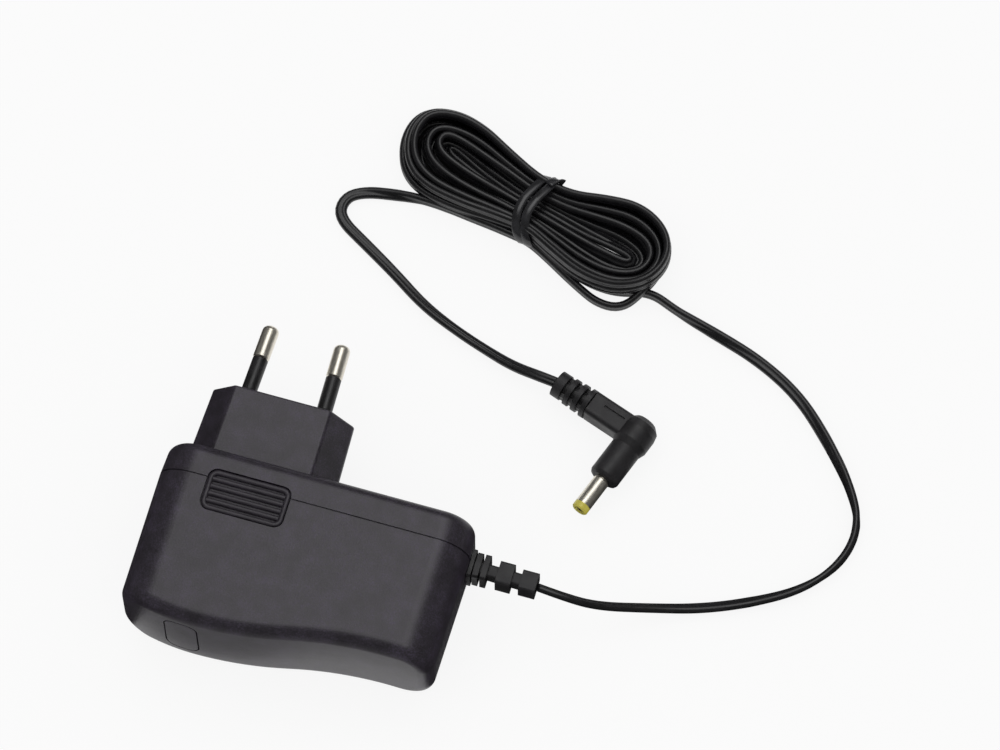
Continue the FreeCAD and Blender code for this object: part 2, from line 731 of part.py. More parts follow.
def make_core_half(name, sign):
    """One E-shaped ferrite half; its three legs point at the other half."""
    body = new_body(name)
    sketch = new_sketch(body, f"{name}_outline", "XY_Plane", f"-{CORE_POST} / 2")
    wide, centre, leg = f"({CORE_WIDTH} / 2)", f"({CORE_POST} / 2)", "core_leg"
    back, root = f"({CORE_HALF} * {sign})", f"(({CORE_HALF} - core_leg) * {sign})"
    draw_polygon(sketch, [
        (f"-{wide}", "0"), (f"-{wide}", back), (wide, back), (wide, "0"),
        (f"{wide} - {leg}", "0"), (f"{wide} - {leg}", root), (centre, root), (centre, "0"),
        (f"-{centre}", "0"), (f"-{centre}", root), (f"{leg} - {wide}", root), (f"{leg} - {wide}", "0")])
    pad(body, f"{name}_block", sketch, CORE_POST)
    return put(body, *CORE_PLACE)


def make_bobbin():
    """Square tube round the centre legs with a tall flange at each end."""
    body = new_body("transformer_bobbin")
    reach = f"({CORE_HALF} - core_leg - fit_gap)"
    tube = across(body, "bobbin_tube_outline", reach)
    bore = f"({CORE_POST} / 2 + fit_gap)"
    outer = f"({bore} + bobbin_wall)"
    for half in (outer, bore):
        draw_rectangle(tube, f"-{half}", half, f"-{half}", half)
    pad(body, "bobbin_tube", tube, f"2 * {reach}")
    wide = f"({CORE_WIDTH} / 2 - core_leg - 2 * fit_gap)"
    for name, place in (("front", reach), ("rear", f"(flange_sheet - {reach})")):
        flange = across(body, f"bobbin_{name}_outline", place)
        draw_rectangle(flange, f"-{wide}", wide, f"-{BOBBIN_TALL} / 2", f"{BOBBIN_TALL} / 2")
        draw_rectangle(flange, f"-{bore}", bore, f"-{bore}", bore)
        pad(body, f"bobbin_{name}_flange", flange, "flange_sheet")
    return put(body, *CORE_PLACE)


def make_winding():
    body = new_body("transformer_winding")
    reach = f"({CORE_HALF} - core_leg - fit_gap - flange_sheet)"
    sketch = across(body, "winding_outline", reach)
    inner = f"({CORE_POST} / 2 + fit_gap + bobbin_wall)"
    wide = f"({CORE_WIDTH} / 2 - core_leg - 6 * fit_gap)"
    tall = f"({BOBBIN_TALL} / 2 - bobbin_wall)"
    draw_rounded(sketch, f"-{wide}", wide, f"-{tall}", tall, "core_leg / 2")
    draw_rectangle(sketch, f"-{inner}", inner, f"-{inner}", inner)
    pad(body, "winding_ring", sketch, f"2 * {reach}")
    return put(body, *CORE_PLACE)


def make_disc_capacitor():
    """Disc standing on two short leads."""
    body = new_body("safety_capacitor")
    radius, thick = f"({BOARD_DEPTH} * 0.135)", f"({BOARD_DEPTH} * 0.11)"
    lift = f"({radius} + 4 * lead_radius)"
    sketch = across(body, "disc_outline", f"{thick} / 2")
    draw_circle(sketch, lift, radius)
    disc = pad(body, "disc", sketch, thick)
    round_off(body, "disc_edge", disc, f"{thick} / 4", lambda edge: edge.BoundBox.YLength < 0.01)
    feet = new_sketch(body, "disc_feet", "XY_Plane")
    for sign in (-1, 1):
        centre = f"({sign} * {radius} * 0.6)"
        draw_rectangle(feet, f"{centre} - lead_radius", f"{centre} + lead_radius",
                       "-lead_radius", "lead_radius")
    pad(body, "disc_leads", feet, lift)
    return put(body, *on_board(-0.12, 0.845))


def bent_route(points):
    """Straight runs joined by tangent arcs, and the smallest bend radius."""
    spots = [FreeCAD.Vector(*point) for point in points]
    edges, start, smallest = [], spots[0], None
    for before, corner, after in zip(spots, spots[1:], spots[2:]):
        back, ahead = (before - corner), (after - corner)
        reach = 0.45 * min(back.Length, ahead.Length)
        back.normalize()
        ahead.normalize()
        half_turn = (math.pi - back.getAngle(ahead)) / 2
        radius = reach / math.tan(half_turn)
        smallest = radius if smallest is None else min(smallest, radius)
        enter, leave = corner + back * reach, corner + ahead * reach
        inward = (back + ahead)
        inward.normalize()
        middle = corner + inward * (radius / math.cos(half_turn) - radius)
        edges.append(Part.LineSegment(start, enter).toShape())
        edges.append(Part.Arc(enter, middle, leave).toShape())
        start = leave
    edges.append(Part.LineSegment(start, spots[-1]).toShape())
    return Part.Wire(edges), smallest


def make_tube(name, points, radius):
    """Round tube swept along a route of chosen points."""
    route, smallest = bent_route(points)
    spine = doc.addObject("Part::Feature", f"{name}_route")
    spine.Shape = route
    section = doc.addObject("Part::Circle", f"{name}_section")
    bind(section, "Radius", radius)
    ahead = FreeCAD.Vector(*points[1]) - FreeCAD.Vector(*points[0])
    section.Placement = FreeCAD.Placement(FreeCAD.Vector(*points[0]),
                                          FreeCAD.Rotation(FreeCAD.Vector(0, 0, 1), ahead))
    item = doc.addObject("Part::Sweep", name)
    item.Label = name
    item.Sections = [section]
    item.Spine = (spine, [f"Edge{k}" for k in range(1, len(route.Edges) + 1)])
    item.Solid = True
    doc.recompute()
    expected = math.pi * number(radius) ** 2 * route.Length
    print(f"{name}: length {route.Length:.1f} mm, tightest bend {smallest:.2f} mm, "
          f"volume {item.Shape.Volume / expected:.4f} of section times length")
    return item


def make_mains_wires():
    """Wires from the tails of the pins down to the board."""
    made = []
    lean, reach = math.radians(number("pin_lean")), number("nose_end + pin_tail")
    middle, top, landing = number(MIDDLE), number(BOARD_TOP), number("seam_place + board_front - 2")
    face = number(f"{FACE} + nose_length")
    for side, sign in (("left", -1), ("right", 1)):
        x = number("nose_place") + sign * (number("pin_spread / 2") + reach * math.sin(lean))
        y = face - reach * math.cos(lean)
        end_x = x + sign * (y - landing) * math.tan(lean)
        made.append(make_tube(f"mains_wire_{side}",
                              [(x, y, middle), (end_x, landing, middle), (end_x, landing, top)],
                              "mains_wire"))
    return made


def make_output_wires():
    """Wires from the strain relief down to the board."""
    made = []
    start = number(f"case_width / 2 - {RELIEF_SEAT} - flange_thick")
    middle, top, seam = number(MIDDLE), number(BOARD_TOP), number("seam_place")
    for name, side, share in (("positive", 0.85, 0.83), ("negative", -0.85, 0.75)):
        y, landing = seam + side, share * number(BOARD_HALF)
        made.append(make_tube(f"output_wire_{name}",
                              [(start, y, middle), (landing, y, middle), (landing, y, top)],
                              "output_wire"))
    return made


# Cord from the strain relief into the hank, then from the hank to the plug
LEAD_POINTS = [
    (67.8, -4.4, 7.6), (79.4, -0.6, 3.2), (90.6, 4.2, 1.2), (101.4, 9.4, 0.9), (111.4, 16.6, 0.9),
    (118.6, 25.2, 0.9), (120.8, 34.2, 0.9), (116.9, 44.2, 0.9), (109.0, 54.2, 0.9), (99.4, 62.7, 0.9),
    (88.2, 69.0, 0.9), (75.8, 73.3, 0.9), (63.0, 77.0, 0.9), (52.0, 81.8, 0.9)]
TAIL_POINTS = [
    (8.0, 89.0, 0.9), (-0.4, 87.0, 0.9), (-8.0, 86.8, 0.9), (-15.96, 86.0, 0.9), (-19.52, 82.08, 0.9),
    (-19.03, 76.8, 0.9), (-11.2, 70.6, 0.9), (-2.6, 63.7, 0.9), (6.5, 58.4, 0.9), (15.3, 54.8, 0.9),
    (24.6, 52.8, 1.1), (32.4, 52.1, 2.6)]
HANK_OUTLINE = [
    (-5.0, 109.6), (-10.2, 101.0), (-7.6, 92.8), (-0.6, 87.6), (9.0, 85.8), (19.4, 84.3), (25.0, 82.8),
    (30.2, 81.2), (36.8, 77.0), (42.8, 73.6), (48.6, 72.0), (53.6, 74.0), (58.2, 79.4), (59.9, 85.2),
    (59.0, 91.4), (54.8, 96.8), (48.1, 99.8), (40.4, 100.0), (32.6, 99.6), (24.8, 101.0), (18.7, 104.3),
    (12.5, 108.0), (6.7, 110.5), (0.6, 111.4)]


def lead_route():
    """The lead starts square to the end of the strain relief."""
    end, level = number("case_width / 2 + relief_length"), number(f"{MIDDLE} - relief_droop")
    seam = number("seam_place")
    return [(end, seam, level), (end + 6.0, seam, level)] + LEAD_POINTS


def tail_route():
    """The tail ends square to the collar of the plug's boot."""
    turn, level = math.radians(number("plug_turn")), number("plug_level")
    ends = [(number("plug_x") - back * math.cos(turn), number("plug_y") + back * math.sin(turn), level)
            for back in (number("boot_length") + 4.6, number("boot_length"))]
    return TAIL_POINTS + ends


def make_tie():
    """Strap wound twice round the waist of the hank, with its tail on top."""
    body = new_body("tie_strap")
    sketch = new_sketch(body, "tie_outline", "YZ_Plane", "tie_place")
    for inset, bend in (("0", "hank_round"), ("tie_thick", "hank_round - tie_thick")):
        draw_rounded(sketch, f"tie_low + {inset}", f"tie_high - {inset}", f"{inset}",
                     f"tie_height - {inset}", bend)
    pad(body, "tie_loop", sketch, "tie_width")
    tail = doc.addObject("Part::Box", "tie_tail")
    bind(tail, "Length", "tie_width * 2")
    bind(tail, "Width", "tie_width * 0.6")
    bind(tail, "Height", "tie_thick * 0.9")
    put(tail, "tie_place + tie_width * 0.2", "tie_high - hank_round - tie_width * 0.6",
        "tie_height - tie_thick * 0.95")
    return combine("Fuse", "cable_tie", body, tail)


def make_hank(strap):
    """Closed outer shape of the coiled cord, pinched by the tie."""
    corners = [FreeCAD.Vector(x, y, 0) for x, y in HANK_OUTLINE + HANK_OUTLINE[:1]]
    outline = doc.addObject("Part::Feature", "hank_outline")
    outline.Shape = Part.makePolygon(corners)
    slab = doc.addObject("Part::Extrusion", "hank_slab")
    slab.Base = outline
    slab.DirMode = "Custom"
    slab.Dir = FreeCAD.Vector(0, 0, 1)
    slab.Solid = True
    bind(slab, "LengthFwd", "hank_height")
    doc.recompute()
    rounded = doc.addObject("Part::Chamfer", "hank_bevelled")
    rounded.Base = slab
    rim, foot = number("hank_round"), number("hank_round / 2")
    rounded.Edges = [(k, rim if edge.BoundBox.ZMin > rim else foot, rim if edge.BoundBox.ZMin > rim else foot)
                     for k, edge in enumerate(slab.Shape.Edges, 1) if edge.BoundBox.ZLength < 0.01]
    doc.recompute()
    return combine("Cut", "cord_hank", rounded, strap)


def lay_plug(item, forward=False):
    """Put a plug piece at the elbow; turned ones point down the stem."""
    turn = FreeCAD.Rotation(FreeCAD.Vector(0, 0, -1), number("plug_turn"))
    if forward:
        turn = turn * FreeCAD.Rotation(FreeCAD.Vector(1, 0, 0), 90)
    item.Placement = FreeCAD.Placement(FreeCAD.Vector(), turn)
    for axis, word in zip("xyz", ("plug_x", "plug_y", "plug_level")):
        bind(item, f"Placement.Base.{axis}", word)
    return item


def make_plug_body():
    """Moulded elbow: ribbed boot, flat arm, round stem with a blind bore."""
    body = new_body("plug_body")
    boot = new_sketch(body, "boot_outline", "XZ_Plane")
    end = "(0 - boot_length)"
    steps = [(end, "0"), (end, "boot_collar"), (f"{end} + boot_pitch", "boot_collar"),
             (f"{end} + boot_pitch", "boot_core")]
    for count in range(3):
        start = f"({end} + boot_pitch * {count + 1.5})"
        size = f"(boot_rib + {count} * boot_grow)"
        steps += [(start, "boot_core"), (start, size), (f"{start} + boot_rib_thick", size),
                  (f"{start} + boot_rib_thick", "boot_core")]
    steps += [("0", "boot_core"), ("0", "0")]
    draw_polygon(boot, steps)
    revolve(body, "boot", boot, "H_Axis")
    web = new_sketch(body, "boot_web_outline", "XY_Plane", "-boot_core / 2")
    draw_rectangle(web, f"{end} + boot_pitch / 2", "-arm_length / 2",
                   "-boot_collar * 0.85", "boot_collar * 0.85")
    pad(body, "boot_web", web, "boot_core")
    stem = new_sketch(body, "stem_outline", "XY_Plane")
    tip = "(0 - stem_length)"
    draw_polygon(stem, [
        ("0", "elbow_radius"), ("elbow_radius * 0.62", "elbow_radius * 0.9"),
        ("elbow_radius * 0.92", "elbow_radius * 0.6"), ("elbow_radius", "elbow_radius * 0.2"),
        ("elbow_radius", "-elbow_radius * 0.6"), ("stem_radius", "-elbow_radius"),
        ("stem_radius", f"{tip} + stem_round"), ("stem_radius - stem_round / 3", f"{tip} + stem_round / 3"),
        ("stem_radius - stem_round", tip), ("0", tip)])
    revolve(body, "stem", stem, "V_Axis")
    arm = new_sketch(body, "arm_outline", "YZ_Plane", "-arm_length")
    draw_rounded(arm, "-arm_width / 2", "arm_width / 2", "-arm_thick / 2", "arm_thick / 2", "arm_round")
    pad(body, "arm", arm, "arm_length")
    slot = new_sketch(body, "arm_slot_outline", "XY_Plane", "arm_thick / 2 - 0.4")
    draw_rectangle(slot, "-arm_length * 0.75", "-elbow_radius * 0.9", "0.4", "1")
    pocket(body, "arm_slot", slot, reverse=True)
    bore = across(body, "stem_bore_outline", tip)
    draw_circle(bore, "0", "barrel_radius - barrel_step")
    pocket(body, "stem_bore", bore, "barrel_root")
    return lay_plug(body)


def make_plug_contacts():
    """Outer barrel, yellow insulator that shows as the tip ring, inner contact."""
    root, inner = "(stem_length - barrel_root)", "(barrel_radius - barrel_wall)"
    tip = "(stem_length + barrel_length)"
    barrel = turned("plug_barrel", [
        (inner, root), ("barrel_radius - barrel_step", root),
        ("barrel_radius - barrel_step", "stem_length + barrel_neck * 0.6"),
        ("barrel_radius", "stem_length + barrel_neck"), ("barrel_radius", f"{tip} - tip_length"),
        (inner, f"{tip} - tip_length")])
    ring = turned("plug_tip_ring", [
        ("contact_radius", root), (inner, root), (inner, f"{tip} - tip_length"),
        ("barrel_radius", f"{tip} - tip_length"), ("barrel_radius", f"{tip} - 0.3"),
        ("barrel_radius - 0.3", tip), ("contact_radius", tip)])
    contact = turned("plug_contact", [
        ("contact_bore", root), ("contact_radius", root), ("contact_radius", f"{tip} - 0.4"),
        ("contact_bore", f"{tip} - 0.4")])
    return [lay_plug(item, forward=True) for item in (barrel, ring, contact)]


case_parts = [make_rear_housing(), make_front_cover(),
              make_grip("upper_grip", "(case_thick - grip_thick)", True),
              make_grip("lower_grip", "grip_thick", False)]
case_parts += make_mains_pins()
print("case made")

big_can, small_can = f"({BOARD_HALF} * 0.147)", f"({BOARD_HALF} * 0.117)"
board_parts = [
    make_circuit_board(),
    make_can("bulk_capacitor_left", (-0.8, 0.69), big_can, f"({HEADROOM} - bulk_room)"),
    make_can("bulk_capacitor_right", (-0.48, 0.69), big_can, f"({HEADROOM} - bulk_room)"),
    make_can("output_capacitor", (0.59, 0.7), small_can, f"({HEADROOM} - output_room)"),
    make_can("filter_capacitor", (0.845, 0.7), f"({small_can} * 0.78)", f"({HEADROOM} - output_room * 1.5)"),
    make_can("filter_choke", (-0.47, 0.04), f"({small_can} * 0.8)", f"({HEADROOM} * 0.56)"),
    make_axial("fusible_resistor", (-0.8, 0.08), f"({BOARD_DEPTH} * 0.064)", f"({BOARD_HALF} * 0.25)"),
    make_axial("output_rectifier", (0.61, 0.28), f"({BOARD_DEPTH} * 0.09)", f"({BOARD_HALF} * 0.24)"),
    make_chip("bridge_rectifier", (-0.81, 0.31),
              f"({BOARD_HALF} * 0.23)", f"({BOARD_DEPTH} * 0.15)", "2.6", 4),
    make_chip("controller_chip", (-0.42, 0.33),
              f"({BOARD_HALF} * 0.14)", f"({BOARD_DEPTH} * 0.14)", "1.7", 4),
    make_chip("optocoupler", (0.18, 0.84),
              f"({BOARD_HALF} * 0.19)", f"({BOARD_DEPTH} * 0.14)", "3.4", 2),
    make_disc_capacitor(),
    make_core_half("transformer_core_front", 1),
    make_core_half("transformer_core_rear", -1),
    make_bobbin(),
    make_winding()]
board_parts += make_mains_wires() + make_output_wires()
print("board made")

relief = make_strain_relief()
tie = make_tie()
hank = make_hank(tie)
plug = make_plug_body()
lead = combine("Cut", "cord_lead", make_tube("lead_whole", lead_route(), "cord_radius"), hank)
tail = combine("Cut", "cord_tail", make_tube("tail_whole", tail_route(), "cord_radius"), hank)
cord_parts = [relief, lead, hank, tail, tie, plug] + make_plug_contacts()
print("cord made")

doc.recompute()
for item in doc.Objects:
    if "Invalid" in item.State or "Error" in item.State:
        raise RuntimeError(f"{item.Name} did not compute")
parts = case_parts + board_parts + cord_parts
for item in parts:
    if item.Shape.isNull() or not item.Shape.isValid() or len(item.Shape.Solids) != 1:
        raise RuntimeError(f"{item.Label} is not one valid solid")

os.makedirs("parts", exist_ok=True)
for item in parts:
    item.Shape.exportStep(f"parts/{item.Label}.step")
print(f"{len(parts)} parts written")
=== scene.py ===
import math
import random
import bmesh
import bpy
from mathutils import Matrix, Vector


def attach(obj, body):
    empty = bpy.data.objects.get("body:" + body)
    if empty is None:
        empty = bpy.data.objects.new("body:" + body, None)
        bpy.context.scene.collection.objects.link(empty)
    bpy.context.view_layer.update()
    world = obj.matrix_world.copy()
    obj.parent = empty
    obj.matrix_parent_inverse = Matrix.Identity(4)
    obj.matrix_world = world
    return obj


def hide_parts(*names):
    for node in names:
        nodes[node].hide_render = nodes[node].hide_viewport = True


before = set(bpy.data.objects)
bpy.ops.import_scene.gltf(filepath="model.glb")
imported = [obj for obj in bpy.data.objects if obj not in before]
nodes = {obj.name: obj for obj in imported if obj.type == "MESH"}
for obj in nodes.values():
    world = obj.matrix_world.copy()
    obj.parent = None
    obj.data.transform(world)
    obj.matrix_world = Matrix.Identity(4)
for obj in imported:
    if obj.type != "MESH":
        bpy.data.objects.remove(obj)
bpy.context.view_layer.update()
mm = 0.001


# small tools

def linear(hexText):
    channels = [int(hexText[k:k + 2], 16) / 255 for k in (1, 3, 5)]
    return [c / 12.92 if c <= 0.04045 else ((c + 0.055) / 1.055) ** 2.4 for c in channels] + [1.0]


def addNode(tree, kind, settings=None, values=None, links=None, stops=None):
    # settings are node properties, values and links are keyed by input name or number, and stops are the
    # (place, hex colour) pairs of a colour ramp
    node = tree.nodes.new(kind)
    for word, value in (settings or {}).items():
        setattr(node, word, value)
    for word, value in (values or {}).items():
        node.inputs[word].default_value = value
    for word, source in (links or {}).items():
        tree.links.new(source, node.inputs[word])
    if stops:
        while len(node.color_ramp.elements) < len(stops):
            node.color_ramp.elements.new(0.5)
        for element, (place, colour) in zip(node.color_ramp.elements, stops):
            element.position = place
            element.color = linear(colour)
    return node


def newMaterial(name):
    material = bpy.data.materials.new(name)
    material.use_nodes = True
    tree = material.node_tree
    tree.nodes.clear()
    return material, tree


def finishMaterial(tree, shader):
    addNode(tree, "ShaderNodeOutputMaterial", links={"Surface": shader})


def putMesh(name, verts, faces, material, smooth=True):
    mesh = bpy.data.meshes.new(name)
    mesh.from_pydata(verts, [], faces)
    mesh.update()
    mesh.materials.append(material)
    for polygon in mesh.polygons:
        polygon.use_smooth = smooth
    piece = bpy.data.objects.new(name, mesh)
    bpy.context.scene.collection.objects.link(piece)
    return piece


def dress(names, material):
    # the named parts keep their shapes and get this one material
    for name in names:
        node = nodes[name]
        node.data.materials.clear()
        node.data.materials.append(material)


# materials, each named for what the real one is

def mouldedAbs(name, settings):
    # ABS from a spark-eroded mould: an even dark skin with a fine dry grain that breaks the highlights
    material, tree = newMaterial(name)
    place = addNode(tree, "ShaderNodeTexCoord").outputs["Object"]
    grain = addNode(tree, "ShaderNodeTexNoise", values={
        "Scale": 1 / settings["grain"], "Detail": 3.0, "Roughness": 0.6}, links={"Vector": place})
    cloud = addNode(tree, "ShaderNodeTexNoise", values={
        "Scale": 1 / settings["cloud"], "Detail": 2.0, "Roughness": 0.5}, links={"Vector": place})
    blend = addNode(tree, "ShaderNodeMath", {"operation": "MULTIPLY"}, {1: settings["cloudShare"]},
                    {0: cloud.outputs["Fac"]})
    total = addNode(tree, "ShaderNodeMath", {"operation": "MULTIPLY_ADD"}, {1: 1 - settings["cloudShare"]},
                    {0: grain.outputs["Fac"], 2: blend.outputs[0]})
    colour = addNode(tree, "ShaderNodeValToRGB", links={"Fac": total.outputs[0]}, stops=[
        (0.34, settings["dark"]), (0.5, settings["middle"]), (0.68, settings["pale"])])
    rough = addNode(tree, "ShaderNodeMapRange", values={
        "From Min": 0.3, "From Max": 0.7, "To Min": settings["roughLow"], "To Max": settings["roughHigh"]},
        links={"Value": grain.outputs["Fac"]})
    bump = addNode(tree, "ShaderNodeBump", values={
        "Strength": settings["bump"], "Distance": settings["depth"]}, links={"Height": grain.outputs["Fac"]})
    shader = addNode(tree, "ShaderNodeBsdfPrincipled",
                     values={"IOR": 1.53, "Specular IOR Level": settings["gloss"]},
                     links={"Base Color": colour.outputs["Color"], "Roughness": rough.outputs[0],
                            "Normal": bump.outputs[0]})
    finishMaterial(tree, shader.outputs[0])
    return material


def platedNickel(name, settings):
    # bright nickel on brass: warm mirror with faint lengthwise rub marks
    material, tree = newMaterial(name)
    place = addNode(tree, "ShaderNodeTexCoord").outputs["Object"]
    stretch = addNode(tree, "ShaderNodeMapping", values={"Scale": settings["stretch"]},
                      links={"Vector": place})
    marks = addNode(tree, "ShaderNodeTexNoise", values={
        "Scale": 1 / settings["marks"], "Detail": 4.0, "Roughness": 0.65},
        links={"Vector": stretch.outputs[0]})
    colour = addNode(tree, "ShaderNodeValToRGB", links={"Fac": marks.outputs["Fac"]}, stops=[
        (0.3, settings["dark"]), (0.7, settings["pale"])])
    rough = addNode(tree, "ShaderNodeMapRange", values={
        "From Min": 0.35, "From Max": 0.7, "To Min": settings["roughLow"], "To Max": settings["roughHigh"]},
        links={"Value": marks.outputs["Fac"]})
    bump = addNode(tree, "ShaderNodeBump", values={
        "Strength": settings["bump"], "Distance": settings["depth"]}, links={"Height": marks.outputs["Fac"]})
    shader = addNode(tree, "ShaderNodeBsdfPrincipled", values={"Metallic": 1.0},
                     links={"Base Color": colour.outputs["Color"], "Roughness": rough.outputs[0],
                            "Normal": bump.outputs[0]})
    finishMaterial(tree, shader.outputs[0])
    return material


def softPvc(name, settings):
    # extruded or moulded PVC: near black, half gloss, slightly uneven where it was handled
    material, tree = newMaterial(name)
    place = addNode(tree, "ShaderNodeTexCoord").outputs["Object"]
    cloud = addNode(tree, "ShaderNodeTexNoise", values={
        "Scale": 1 / settings["cloud"], "Detail": 3.0, "Roughness": 0.55}, links={"Vector": place})
    skin = addNode(tree, "ShaderNodeTexNoise", values={
        "Scale": 1 / settings["grain"], "Detail": 2.0, "Roughness": 0.6}, links={"Vector": place})
    colour = addNode(tree, "ShaderNodeValToRGB", links={"Fac": cloud.outputs["Fac"]}, stops=[
        (0.35, settings["dark"]), (0.68, settings["pale"])])
    rough = addNode(tree, "ShaderNodeMapRange", values={
        "From Min": 0.3, "From Max": 0.7, "To Min": settings["roughLow"], "To Max": settings["roughHigh"]},
        links={"Value": cloud.outputs["Fac"]})
    bump = addNode(tree, "ShaderNodeBump", values={
        "Strength": settings["bump"], "Distance": settings["depth"]}, links={"Height": skin.outputs["Fac"]})
    shader = addNode(tree, "ShaderNodeBsdfPrincipled",
                     values={"IOR": 1.54, "Specular IOR Level": settings["gloss"]},
                     links={"Base Color": colour.outputs["Color"], "Roughness": rough.outputs[0],
                            "Normal": bump.outputs[0]})
    finishMaterial(tree, shader.outputs[0])
    return material


caseSkin = {"grain": 0.34 * mm, "cloud": 4 * mm, "cloudShare": 0.3, "dark": "#1b171e", "middle": "#2a252d",
            "pale": "#40384a", "roughLow": 0.32, "roughHigh": 0.44, "bump": 0.5, "depth": 0.05 * mm,
            "gloss": 0.5}
gripSkin = dict(caseSkin, dark="#1d191f", middle="#29242c", pale="#36303a", grain=0.25 * mm,
                roughLow=0.36, roughHigh=0.5, bump=0.2)
nickelSkin = {"stretch": (1.0, 0.12, 1.0), "marks": 0.5 * mm, "dark": "#d3ccbd", "pale": "#f3efe4",
              "roughLow": 0.3, "roughHigh": 0.42, "bump": 0.12, "depth": 0.02 * mm}
cordSkin = {"cloud": 3 * mm, "grain": 0.2 * mm, "dark": "#101012", "pale": "#19181b", "roughLow": 0.28,
            "roughHigh": 0.4, "bump": 0.1, "depth": 0.04 * mm, "gloss": 0.5}
plugSkin = dict(cordSkin, dark="#19181a", pale="#242225", roughLow=0.45, roughHigh=0.6, bump=0.2)
sleeveSkin = dict(cordSkin, dark="#151415", pale="#211f21", roughLow=0.35, roughHigh=0.45)
tieSkin = dict(cordSkin, dark="#1d1d1f", pale="#2c2c2f", roughLow=0.18, roughHigh=0.28)
tipSkin = dict(cordSkin, dark="#c9be4c", pale="#e2da78", roughLow=0.3, roughHigh=0.4, bump=0.05)

caseMaterial = mouldedAbs("sparkTexturedAbs", caseSkin)
gripMaterial = mouldedAbs("finePolishedAbs", gripSkin)
nickelMaterial = platedNickel("brightNickelPlate", nickelSkin)
cordMaterial = softPvc("extrudedPvc", cordSkin)
plugMaterial = softPvc("mouldedPvc", plugSkin)
sleeveMaterial = softPvc("blackPbt", sleeveSkin)
tieMaterial = softPvc("glossyPolyethyleneStrip", tieSkin)
tipMaterial = softPvc("yellowNylon", tipSkin)

dress(["rear_housing", "front_cover"], caseMaterial)
dress(["mains_pin_left", "mains_pin_right", "plug_barrel", "plug_contact"], nickelMaterial)
dress(["pin_sleeve_left", "pin_sleeve_right"], sleeveMaterial)
dress(["strain_relief", "plug_body"], plugMaterial)
dress(["plug_tip_ring"], tipMaterial)

# the parts inside, seen only when the case is opened
insideSkins = {
    "glassEpoxyBoard": (["circuit_board"], "#14502a", "#1d6a3a", 0.35),
    "shrinkSleeve": (["bulk_capacitor_left", "bulk_capacitor_right", "output_capacitor", "filter_capacitor"],
                     "#15182e", "#23284a", 0.3),
    "sinteredFerrite": (["transformer_core_front", "transformer_core_rear", "filter_choke"],
                        "#252526", "#39393b", 0.6),
    "bakedResistorCoat": (["fusible_resistor"], "#3f7f6f", "#5c9c88", 0.4),
    "epoxyMould": (["output_rectifier", "bridge_rectifier", "controller_chip", "optocoupler"],
                   "#171718", "#262628", 0.55),
    "blueLacquer": (["safety_capacitor"], "#2b5f9e", "#3d76b8", 0.3),
    "phenolicBobbin": (["transformer_bobbin"], "#1b1a19", "#2b2927", 0.5),
    "polyesterTape": (["transformer_winding"], "#c9a227", "#dcb94a", 0.28),
    "redWirePvc": (["mains_wire_left", "output_wire_positive"], "#8c1f1a", "#a52d26", 0.35),
    "blackWirePvc": (["mains_wire_right", "output_wire_negative"], "#1a1a1b", "#28282a", 0.35)}
insideRoughSpan = 0.12  # between the smoothest and the driest spots of such a part
for skinName, (owners, dark, pale, rough) in insideSkins.items():
    skin = dict(cordSkin, dark=dark, pale=pale, roughLow=rough, roughHigh=rough + insideRoughSpan)
    dress(owners, softPvc(skinName, skin))
print("materials made")


# finger grips: a plate with a rounded frame and ribs, repeated by Geometry Nodes

gripSettings = {"centreX": -15.5 * mm, "centreY": -7.65 * mm, "width": 19.8 * mm, "depth": 10.1 * mm,
                "corner": 2.2 * mm, "cornerSteps": 6, "bottom": 0.9 * mm, "floor": 0.74 * mm,
                "topLevel": 25.0 * mm, "frameWidth": 1.3 * mm, "rise": 0.44 * mm, "ovalSteps": 16,
                "ribCount": 4, "ribPitch": 1.8 * mm, "ribWidth": 1.25 * mm, "ribLength": 17.4 * mm,
                "mergeWithin": 0.001 * mm}


def roundedOutline(settings):
    # outline of the grip's plate around its own middle, corner by corner
    corner, steps = settings["corner"], settings["cornerSteps"]
    found = []
    for sx, sy, first in ((1, 1, 0), (-1, 1, 90), (-1, -1, 180), (1, -1, 270)):
        for k in range(steps + 1):
            angle = math.radians(first + 90 * k / steps)
            found.append((sx * (settings["width"] / 2 - corner) + corner * math.cos(angle),
                          sy * (settings["depth"] / 2 - corner) + corner * math.sin(angle)))
    return found


